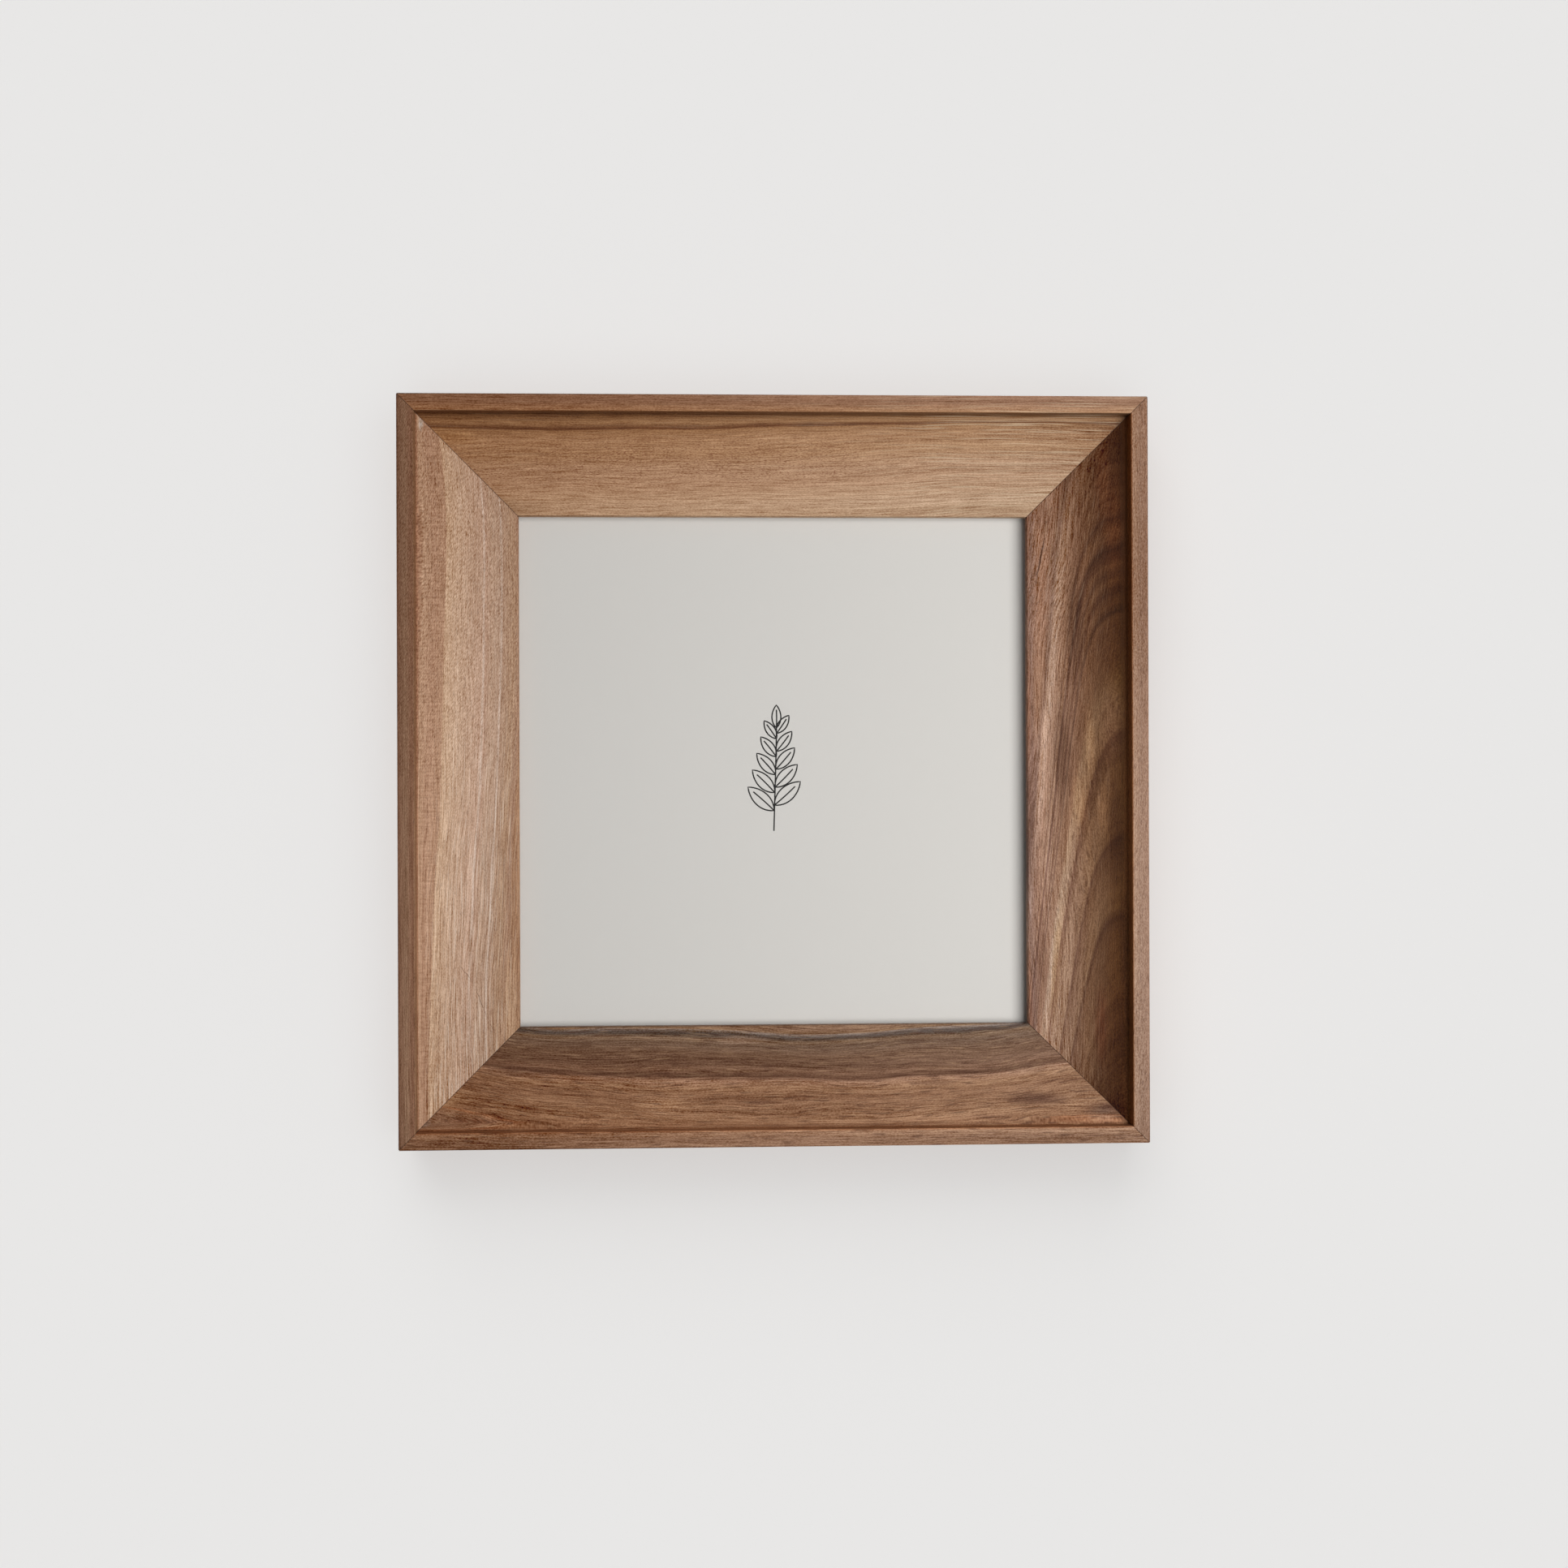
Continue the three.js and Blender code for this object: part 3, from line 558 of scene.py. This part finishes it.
        wobbled = addNode(tree, "ShaderNodeMath", {"operation": "MULTIPLY_ADD"},
                          {0: swirl, 1: rings["wobble"], 2: place.outputs["X"]})
        arch = addNode(tree, "ShaderNodeMath", {"operation": "MULTIPLY_ADD"}, {
            0: squared, 1: slope, 2: wobbled})
        archPlace = addNode(tree, "ShaderNodeMath", {"operation": "DIVIDE"}, {0: arch, 1: rings["size"]})
        growth = addNode(tree, "ShaderNodeTexNoise", {"noise_dimensions": "1D"}, {
            "W": archPlace, "Scale": 1, "Detail": 3, "Roughness": 0.6})
        grown = addNode(tree, "ShaderNodeMath", {"operation": "SUBTRACT"}, {0: growth, 1: 0.5})
        ringed = addNode(tree, "ShaderNodeMath", {"operation": "MULTIPLY"}, {0: grown, 1: onFace})
        tone = addNode(tree, "ShaderNodeMath", {"operation": "MULTIPLY_ADD"},
                       {0: ringed, 1: rings["strength"], 2: tone})
        archShare = addNode(tree, "ShaderNodeMapRange", inputs={
            "Value": arch, "From Min": rings["from"], "From Max": rings["to"]})
        arches = addNode(tree, "ShaderNodeValToRGB", {"stops": rings["stops"]}, {0: archShare})
        depth = addNode(tree, "ShaderNodeMath", {"operation": "MULTIPLY"}, {0: onFace, 1: rings["depth"]})
        arched = addNode(tree, "ShaderNodeMix", {"data_type": "RGBA", "blend_type": "MULTIPLY"},
                         {0: depth, "A": colour, "B": arches})
        colour = next(socket for socket in arched.outputs if socket.enabled)
    # Darker fibres are redder too, and so is the painted shade along the rail
    tinted = addNode(tree, "ShaderNodeVectorMath", {"operation": "MULTIPLY_ADD"}, {
        0: tone, 1: elm["tint"], 2: [1 - channel for channel in elm["tint"]]})
    colour = addNode(tree, "ShaderNodeVectorMath", {"operation": "MULTIPLY"}, {0: colour, 1: tinted})
    # and one end of a rail is warmer than the other
    red, blue = (addNode(tree, "ShaderNodeMapRange", inputs={
        "Value": share, "To Min": 1 + sign * s["warm"][0], "To Max": 1 + sign * s["warm"][1]})
        for sign in (1, -1))
    warmth = addNode(tree, "ShaderNodeCombineXYZ", inputs={0: red, 1: 1.0, 2: blue})
    colour = addNode(tree, "ShaderNodeVectorMath", {"operation": "MULTIPLY"}, {0: colour, 1: warmth})

    # Pores, and pale flecks that are partly the wood's own and partly painted glint, as dashes along the grain
    for name, shade in (("pores", elm["pore"]), ("flecksAndGlints", None)):
        layer = s[name]
        dashes = streaks(layer)
        mask = addNode(tree, "ShaderNodeMapRange", inputs={
            "Value": dashes, "From Min": layer["cut"], "From Max": layer["cut"] + elm["dashEdge"],
            "To Max": layer["strength"]})
        where = shown(layer)
        if where:
            mask = addNode(tree, "ShaderNodeMath", {"operation": "MULTIPLY"}, {0: mask, 1: where})
        colour = addNode(tree, "ShaderNodeMix", {"data_type": "RGBA"}, {
            0: mask, "A": colour, "B": linearColour(layer.get("colour", shade))})

    bump = addNode(tree, "ShaderNodeBump", inputs={
        "Strength": elm["bump"], "Distance": elm["bumpDepth"] * mm, "Height": relief})
    surface = addNode(tree, "ShaderNodeBsdfPrincipled", inputs={
        "Base Color": colour, "Roughness": elm["roughness"], "IOR": 1.45,
        "Specular IOR Level": elm["specular"], "Normal": bump})
    addNode(tree, "ShaderNodeOutputMaterial", inputs={0: surface})
    return material


def solidCopy(node, name):
    # A copy of a plain solid with its loose triangles joined
    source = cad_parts[node]
    piece = source.copy()
    piece.data = source.data.copy()
    piece.name = name
    bpy.context.collection.objects.link(piece)
    for key in list(piece.keys()):
        del piece[key]
    bpy.ops.object.select_all(action="DESELECT")
    bpy.context.view_layer.objects.active = piece
    piece.select_set(True)
    bpy.ops.object.mode_set(mode="EDIT")
    bpy.ops.mesh.select_all(action="SELECT")
    bpy.ops.mesh.remove_doubles(threshold=0.01 * mm)
    bpy.ops.object.mode_set(mode="OBJECT")
    return piece


def selectFaces(mesh, wanted):  # and stay in edit mode
    bpy.ops.object.mode_set(mode="EDIT")
    bpy.ops.mesh.select_mode(type="FACE")
    bpy.ops.object.mode_set(mode="OBJECT")
    for vertex in mesh.vertices:
        vertex.select = False
    for edge in mesh.edges:
        edge.select = False
    for face in mesh.polygons:
        face.select = wanted(face)
    bpy.ops.object.mode_set(mode="EDIT")


def applyModifier(piece, name, kind, **settings):
    modifier = piece.modifiers.new(name, kind)
    for key, value in settings.items():
        setattr(modifier, key, value)
    bpy.context.view_layer.objects.active = piece
    bpy.ops.object.modifier_apply(modifier=modifier.name)


def smoothCurves(piece):  # round edges look round, and flat faces stay flat
    bpy.ops.object.shade_smooth_by_angle(angle=math.radians(50))
    applyModifier(piece, "flat faces", "WEIGHTED_NORMAL", keep_sharp=True, weight=100)


def finishPiece(piece, material, node=None, body="frame"):
    piece.data.materials.clear()
    piece.data.materials.append(material)
    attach(piece, body)
    if node:
        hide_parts(node)


def makeRail(side, s):
    rail = solidCopy("rail_" + side, "elm_rail_" + side)
    smoothCurves(rail)
    finishPiece(rail, elmMaterial(side, s), "rail_" + side)


glueSet = {
    "colour": "#4E3424",
    "roughness": 0.6,
    "film": 0.2,  # mm, the width of the joint
    "sunk": 0.25,
    "mitresFrom": 90,  # mm from the rail's middle
}


def makeGlue(side, material):
    # The film of glue in a rail's two mitres, cut from the rail's own ends
    film = solidCopy("rail_" + side, "mitre_glue_" + side)
    even, slope = 0.01, math.sqrt(0.5)
    selectFaces(film.data, lambda face: abs(face.normal.y) > even or abs(abs(face.normal.x) - slope) > even
                or abs(face.center.x) < glueSet["mitresFrom"] * mm)
    bpy.ops.mesh.delete(type="FACE")
    bpy.ops.mesh.select_all(action="SELECT")
    bpy.ops.mesh.dissolve_limited(angle_limit=math.radians(1))
    bpy.ops.mesh.inset(thickness=glueSet["sunk"] * mm)
    bpy.ops.mesh.select_all(action="INVERT")
    bpy.ops.mesh.delete(type="FACE")
    bpy.ops.object.mode_set(mode="OBJECT")
    applyModifier(film, "film", "SOLIDIFY", thickness=glueSet["film"] * mm, offset=1)
    finishPiece(film, material)


# Wood glue, dried: brown and dull, a hair's breadth below the wood
glue = plainMaterial("dried wood glue", glueSet["colour"], glueSet["roughness"])
for side in ("top", "bottom"):
    makeGlue(side, glue)
for side, settings in railSets.items():
    makeRail(side, settings)
print("rails done")

# Glass, print, card and board

# Each sheet: its two colours, a fibre's or strand's size along x, y and z and its relief in mm, and its
# roughness. The fibres are drawn coarser than real, so that they show at all.
sheetSet = {
    "paper": {"colours": ("#E6E1DD", "#E8E3DF"), "size": (0.7, 1, 0.35), "relief": 0.01, "roughness": 0.92},
    "card": {"colours": ("#968F84", "#A39C90"), "size": (1.2, 1, 1.2), "relief": 0.02, "roughness": 0.95},
    "board": {"colours": ("#694830", "#7F5D40"), "size": (1.8, 1, 0.9), "relief": 0.03, "roughness": 0.62},
    "glassTint": (0.985, 0.99, 0.987, 1),
}


def speckledMaterial(name, s, metallic=0.0):
    material, tree = newMaterial(name)
    coords = addNode(tree, "ShaderNodeTexCoord")
    place = addNode(tree, "ShaderNodeVectorMath", {"operation": "MULTIPLY"}, {
        0: coords.outputs["Object"], 1: [1000 / side for side in s["size"]]})
    specks = addNode(tree, "ShaderNodeTexNoise", inputs={
        "Vector": place, "Scale": 1, "Detail": 3, "Roughness": 0.6})
    colour = addNode(tree, "ShaderNodeValToRGB", {"stops": list(zip((0.35, 0.65), s["colours"]))}, {0: specks})
    relief = addNode(tree, "ShaderNodeBump", inputs={
        "Strength": 0.3, "Distance": s["relief"] * mm, "Height": specks})
    surface = addNode(tree, "ShaderNodeBsdfPrincipled", inputs={
        "Base Color": colour, "Roughness": s["roughness"], "Metallic": metallic, "Normal": relief})
    addNode(tree, "ShaderNodeOutputMaterial", inputs={0: surface})
    return material


def glassMaterial():
    # Float glass, 2 mm: clear and flat, with only its reflections to see
    material, tree = newMaterial("float glass")
    clear = addNode(tree, "ShaderNodeBsdfTransparent", inputs={"Color": sheetSet["glassTint"]})
    gloss = addNode(tree, "ShaderNodeBsdfGlossy", inputs={"Roughness": 0.0})
    shine = addNode(tree, "ShaderNodeFresnel", inputs={"IOR": 1.5})
    side = addNode(tree, "ShaderNodeNewGeometry")
    front = addNode(tree, "ShaderNodeMath", {"operation": "SUBTRACT"}, {0: 1.0, 1: side.outputs["Backfacing"]})
    share = addNode(tree, "ShaderNodeMath", {"operation": "MULTIPLY"}, {0: shine, 1: front})
    pane = addNode(tree, "ShaderNodeMixShader", inputs={0: share, 1: clear, 2: gloss})
    addNode(tree, "ShaderNodeOutputMaterial", inputs={0: pane})
    return material


def dress(node, material):
    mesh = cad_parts[node].data
    mesh.materials.clear()
    mesh.materials.append(material)


dress("glass_pane", glassMaterial())
# Uncoated paper: matt and faintly warm, with a fine tooth
dress("print_sheet", speckledMaterial("uncoated paper", sheetSet["paper"]))
# Grey board, pulped and rolled: matt with faint darker specks
dress("backing_card", speckledMaterial("grey board", sheetSet["card"]))
# Hardboard, pressed wood fibre: smooth and brown, with strands lying every way
dress("backing_board", speckledMaterial("hardboard", sheetSet["board"]))

# Leaf sprig on the print, drawn in thin lines of ink

sprig = {
    "ink": "#201F1E",
    "roughness": 0.8,
    "height": 46,  # mm
    "sway": (1.6, 2.6),  # mm to the side, and how fast the stem's bow comes and goes
    "line": 0.6,  # mm, the width of a stroke
    "raise": 0.02,
    "leaf": (13.5, 2.9),  # length and half width of the lowest leaves
    "pairs": 5,
    "foot": 0.17,  # share of the height of the lowest pair, the reach to the top pair and the step in a pair
    "reach": 0.6,
    "step": 0.045,
    "tip": 0.86,  # share of the height where the stem ends in a leaf, and that leaf's length against a top one
    "tipLength": 1.05,
    "spread": 48,  # degrees from the stem at the lowest pair
    "closing": 0.28,  # share of the spread that the top pair has lost
    "taper": 0.62,  # size of the top pair against the lowest
}


def inkStroke(ends, handles, closed=False):
    bpy.ops.curve.primitive_bezier_curve_add()
    stroke = bpy.context.object
    spline = stroke.data.splines[0]
    for point, place, (left, right) in zip(spline.bezier_points, ends, handles):
        point.handle_left_type = point.handle_right_type = "FREE"
        point.co, point.handle_left, point.handle_right = (
            Vector((x * mm, 0, z * mm)) for x, z in (place, left, right))
    spline.use_cyclic_u = closed
    stroke.data.resolution_u = 14
    stroke.data.bevel_depth = sprig["line"] / 2 * mm
    stroke.data.bevel_resolution = 1
    return stroke


def leafStrokes(foot, angle, length, half):
    # A pointed leaf: its outline from foot to tip and back, and its midrib
    forward = Vector((math.sin(angle), math.cos(angle)))
    side = Vector((forward.y, -forward.x))
    at = lambda along, out: tuple(foot + forward * along * length + side * out * half)
    full, slim = 1.4, 1.15  # how far the outline's handles reach out near the foot and near the tip
    outline = inkStroke((at(0, 0), at(1, 0)), (
        (at(0.28, -full), at(0.28, full)), (at(0.72, slim), at(0.72, -slim))), True)
    midrib = inkStroke((at(0, 0), at(0.8, 0)), ((at(0, 0), at(0.27, 0.06)), (at(0.53, 0.06), at(0.8, 0))))
    return [outline, midrib]


def makeSprig():
    s = sprig
    sway, bow = s["sway"]
    length, half = s["leaf"]
    stem = lambda share: Vector((sway * math.sin(share * bow) * share, (share - 0.5) * s["height"]))
    foot, lower, upper, tip = (tuple(stem(share)) for share in (0, 0.3, 0.6, s["tip"]))
    strokes = [inkStroke((foot, tip), ((foot, lower), (upper, tip)))]
    for pair in range(s["pairs"]):
        share = pair / (s["pairs"] - 1)
        size = 1 + (s["taper"] - 1) * share
        angle = math.radians(s["spread"] * (1 - s["closing"] * share))
        for turn, lift in ((-1, 0), (1, s["step"])):
            joint = stem(s["foot"] + s["reach"] * share + lift)
            strokes += leafStrokes(joint, turn * angle, length * size, half * size)
    strokes += leafStrokes(stem(s["tip"]), 0.0, length * s["taper"] * s["tipLength"], half * s["taper"])
    bpy.ops.object.select_all(action="DESELECT")
    for stroke in strokes:
        stroke.select_set(True)
    bpy.context.view_layer.objects.active = strokes[0]
    bpy.ops.object.convert(target="MESH")
    bpy.ops.object.join()
    drawing = bpy.context.object
    drawing.name = "leaf_sprig"
    near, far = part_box("print_sheet")
    middle = (near + far) / 2
    drawing.scale = (1, s["raise"] * 2 / s["line"], 1)
    drawing.location = (middle.x, near.y, middle.z)
    bpy.ops.object.transform_apply(location=True, rotation=True, scale=True)
    # Printing ink: flat and near black, sunk into the paper
    finishPiece(drawing, plainMaterial("printing ink", s["ink"], s["roughness"]))


makeSprig()
print("sheets done")

# Steel fastenings and rubber bumpers on the back

backSet = {  # an eased edge's width and a speck's size and relief in mm
    "buttonEase": 0.22,
    "strapEase": 0.14,
    "bumperEase": 0.5,
    "nickel": {"colours": ("#C6C1B7", "#CBC7BD"), "size": (3.5, 3.5, 3.5), "relief": 0.04, "roughness": 0.25},
    "zinc": {"colours": ("#A9ADB0", "#B9BDBF"), "size": (0.8, 0.8, 0.8), "relief": 0.01, "roughness": 0.42},
    "rubber": {"colours": ("#2F2E2C", "#3D3C39"), "size": (0.5, 0.5, 0.5), "relief": 0.02, "roughness": 0.72},
}
# In mm: the wire's radius, the ring's width between the wire's middles, its straight sides, the radius of the
# corners at the bar and the gap between the wire's ends
ringSet = {"wire": 1, "width": 16, "straight": 8, "corner": 2, "split": 0.5}
screwSet = {  # radii, heights and lengths in mm
    "head": 2.9, "rim": 0.5, "rise": 1.7,
    "rings": 5, "dome": 78,  # steps of the dome, and the degrees of its quarter ellipse
    "core": 1.02, "crest": 1.38, "length": 11, "point": 3, "pitch": 1.1,
    "tip": 0.12,  # width of the point's end against the core
    "root": 0.3,  # how far the thread's root is sunk, against its depth
    "plain": 1.2,  # mm of shank under the head without a thread
    "recess": 1.6, "recessWidth": 0.8, "recessDepth": 1.0, "recessTaper": 0.6,
    "ease": 0.08,
    "turned": 37,  # degrees from one screw's recess to the next one's
}


def easedCopy(node, name, ease, material, body="frame"):
    piece = solidCopy(node, name)
    applyModifier(piece, "eased edges", "BEVEL", width=ease * mm, segments=3, limit_method="ANGLE",
                  angle_limit=math.radians(35))
    smoothCurves(piece)
    finishPiece(piece, material, node, body)


def modelScrew():
    # A pan-head wood screw, point down, with the underside of its head at the origin
    s = screwSet
    bpy.ops.object.select_all(action="DESELECT")
    bpy.ops.mesh.primitive_cylinder_add(
        vertices=40, radius=s["head"] * mm, depth=s["rim"] * mm, location=(0, 0, s["rim"] / 2 * mm))
    screw = bpy.context.object
    bpy.ops.object.transform_apply(location=True, rotation=True, scale=True)
    radius, top, dome = s["head"], s["rim"], math.radians(s["dome"])
    selectFaces(screw.data, lambda face: face.normal.z > 0.9)
    for ring in range(1, s["rings"] + 1):  # the dome rises as a quarter of an ellipse
        turn = ring / s["rings"] * dome
        nextRadius = s["head"] * math.cos(turn)
        nextTop = s["rim"] + (s["rise"] - s["rim"]) * math.sin(turn) / math.sin(dome)
        bpy.ops.mesh.extrude_region_move(TRANSFORM_OT_translate={"value": (0, 0, (nextTop - top) * mm)})
        bpy.ops.transform.resize(value=(nextRadius / radius, nextRadius / radius, 1))
        radius, top = nextRadius, nextTop
    selectFaces(screw.data, lambda face: face.normal.z < -0.9)
    bpy.ops.mesh.inset(thickness=(s["head"] - s["core"]) * mm)
    shank = s["length"] - s["point"]
    for run in (shank, s["point"]):
        bpy.ops.mesh.extrude_region_move(TRANSFORM_OT_translate={"value": (0, 0, -run * mm)})
    bpy.ops.transform.resize(value=(s["tip"], s["tip"], 1))
    bpy.ops.object.mode_set(mode="OBJECT")

    # The thread is one triangle wound up the shank, with its root sunk in the core
    height = (s["crest"] - s["core"]) * (1 + s["root"])
    radius = height / 1.5
    bpy.ops.mesh.primitive_circle_add(
        vertices=3, radius=radius * mm, fill_type="NOTHING", rotation=(math.pi / 2, 0, 0),
        location=((s["crest"] - radius) * mm, 0, -shank * mm))
    thread = bpy.context.object
    bpy.ops.object.mode_set(mode="EDIT")
    bpy.ops.mesh.select_all(action="SELECT")
    bpy.ops.transform.rotate(value=math.pi / 2, orient_axis="Y", center_override=tuple(thread.location))
    bpy.ops.object.mode_set(mode="OBJECT")
    bpy.ops.object.transform_apply(location=True, rotation=True, scale=True)
    turns = int((shank - s["plain"]) / s["pitch"])
    applyModifier(thread, "thread", "SCREW", screw_offset=s["pitch"] * mm, iterations=turns, steps=20,
                  render_steps=20, use_merge_vertices=True, use_normal_calculate=True)
    return screw, thread


def cutRecess(screw):
    s = screwSet
    for turned in (False, True):
        reach, width = s["recess"] * 2, s["recessWidth"]
        bpy.ops.mesh.primitive_cube_add(size=1, location=(0, 0, s["rise"] * mm))
        bar = bpy.context.object
        across, along = (width, reach) if turned else (reach, width)
        bar.scale = (across * mm, along * mm, 2 * s["recessDepth"] * mm)
        bpy.ops.object.transform_apply(location=True, rotation=True, scale=True)
        selectFaces(bar.data, lambda face: face.normal.z < -0.9)
        bpy.ops.transform.resize(value=(s["recessTaper"], s["recessTaper"], 1))
        bpy.ops.object.mode_set(mode="OBJECT")
        applyModifier(screw, "recess", "BOOLEAN", operation="DIFFERENCE", object=bar, solver="EXACT")
        bpy.data.objects.remove(bar)


def makeScrews(material):
    pattern, thread = modelScrew()
    cutRecess(pattern)
    applyModifier(pattern, "eased edges", "BEVEL", width=screwSet["ease"] * mm, segments=2,
                  limit_method="ANGLE", angle_limit=math.radians(50))
    bpy.ops.object.select_all(action="DESELECT")
    thread.select_set(True)
    pattern.select_set(True)
    bpy.context.view_layer.objects.active = pattern
    bpy.ops.object.join()
    bpy.ops.object.shade_smooth_by_angle(angle=math.radians(40))
    names = [node for node in sorted(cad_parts) if node.startswith(("button_screw_", "hanger_screw"))]
    for index, node in enumerate(names):
        corner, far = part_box(node)
        middle = (corner + far) / 2
        place = Vector((middle.x, far.y - screwSet["rise"] * mm, middle.z))
        screw = pattern.copy()
        screw.data = pattern.data.copy()
        screw.name = "pan_head_" + node
        bpy.context.collection.objects.link(screw)
        facing = Matrix.Rotation(math.radians(-90), 4, "X")
        turn = Matrix.Rotation(math.radians(screwSet["turned"] * index), 4, "Z")
        screw.data.transform(Matrix.Translation(place) @ facing @ turn)
        finishPiece(screw, material, node)
    bpy.data.objects.remove(pattern)


def makeRing(material):
    # Round wire bent to a D, its two ends almost meeting in the middle of the bar
    s = ringSet
    near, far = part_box("hanger_ring")
    middle = (near + far) / 2
    side, corner = s["width"] / 2, s["corner"]
    bend = side - corner
    pull = 0.5523  # handle length of a quarter circle against its radius
    stations = [  # place, then the handles before and after it
        (s["split"] / 2, 0, -1, 0, 1, 0), (bend, 0, -1, 0, pull * corner, 0),
        (side, corner, 0, -pull * corner, 0, 1), (side, s["straight"], 0, -1, 0, pull * side),
        (0, s["straight"] + side, pull * side, 0, -pull * side, 0),
        (-side, s["straight"], 0, pull * side, 0, -1), (-side, corner, 0, 1, 0, -pull * corner),
        (-bend, 0, -pull * corner, 0, 1, 0), (-s["split"] / 2, 0, -1, 0, 1, 0)]
    bpy.ops.object.select_all(action="DESELECT")
    bpy.ops.curve.primitive_bezier_curve_add()
    wire = bpy.context.object
    wire.name = "drawn_wire_ring"
    spline = wire.data.splines[0]
    spline.bezier_points.add(len(stations) - 2)
    barHeight = near.z / mm + s["wire"]
    for point, (x, z, beforeX, beforeZ, afterX, afterZ) in zip(spline.bezier_points, stations):
        point.handle_left_type = point.handle_right_type = "FREE"
        point.co = (x * mm, 0, (z + barHeight) * mm)
        point.handle_left = ((x + beforeX) * mm, 0, (z + beforeZ + barHeight) * mm)
        point.handle_right = ((x + afterX) * mm, 0, (z + afterZ + barHeight) * mm)
    wire.data.resolution_u = 12
    wire.data.bevel_depth = s["wire"] * mm
    wire.data.bevel_resolution = 6
    wire.data.use_fill_caps = True
    wire.location = (middle.x, middle.y, 0)
    bpy.ops.object.convert(target="MESH")
    bpy.ops.object.transform_apply(location=True, rotation=True, scale=True)
    bpy.ops.object.shade_smooth_by_angle(angle=math.radians(50))
    finishPiece(bpy.context.object, material, "hanger_ring", "hanger_ring")


# Nickel-plated pressed steel: bright and faintly warm, with soft marks from the press
nickel = speckledMaterial("nickel-plated steel", backSet["nickel"], 1.0)
# Zinc-plated steel: duller and cooler, with a fine spangle
zinc = speckledMaterial("zinc-plated steel", backSet["zinc"], 1.0)
# Moulded rubber: near black and matt, with a fine grain
rubber = speckledMaterial("moulded rubber", backSet["rubber"])
for node in sorted(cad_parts):
    if node.startswith("turn_button_"):
        easedCopy(node, "pressed_" + node, backSet["buttonEase"], nickel, node)
    elif node.startswith("bumper_"):
        easedCopy(node, "moulded_" + node, backSet["bumperEase"], rubber)
    elif node.startswith("v_nail_"):
        dress(node, zinc)
easedCopy("hanger_strap", "folded_strap", backSet["strapEase"], nickel)
makeRing(nickel)
makeScrews(zinc)
print("back done")
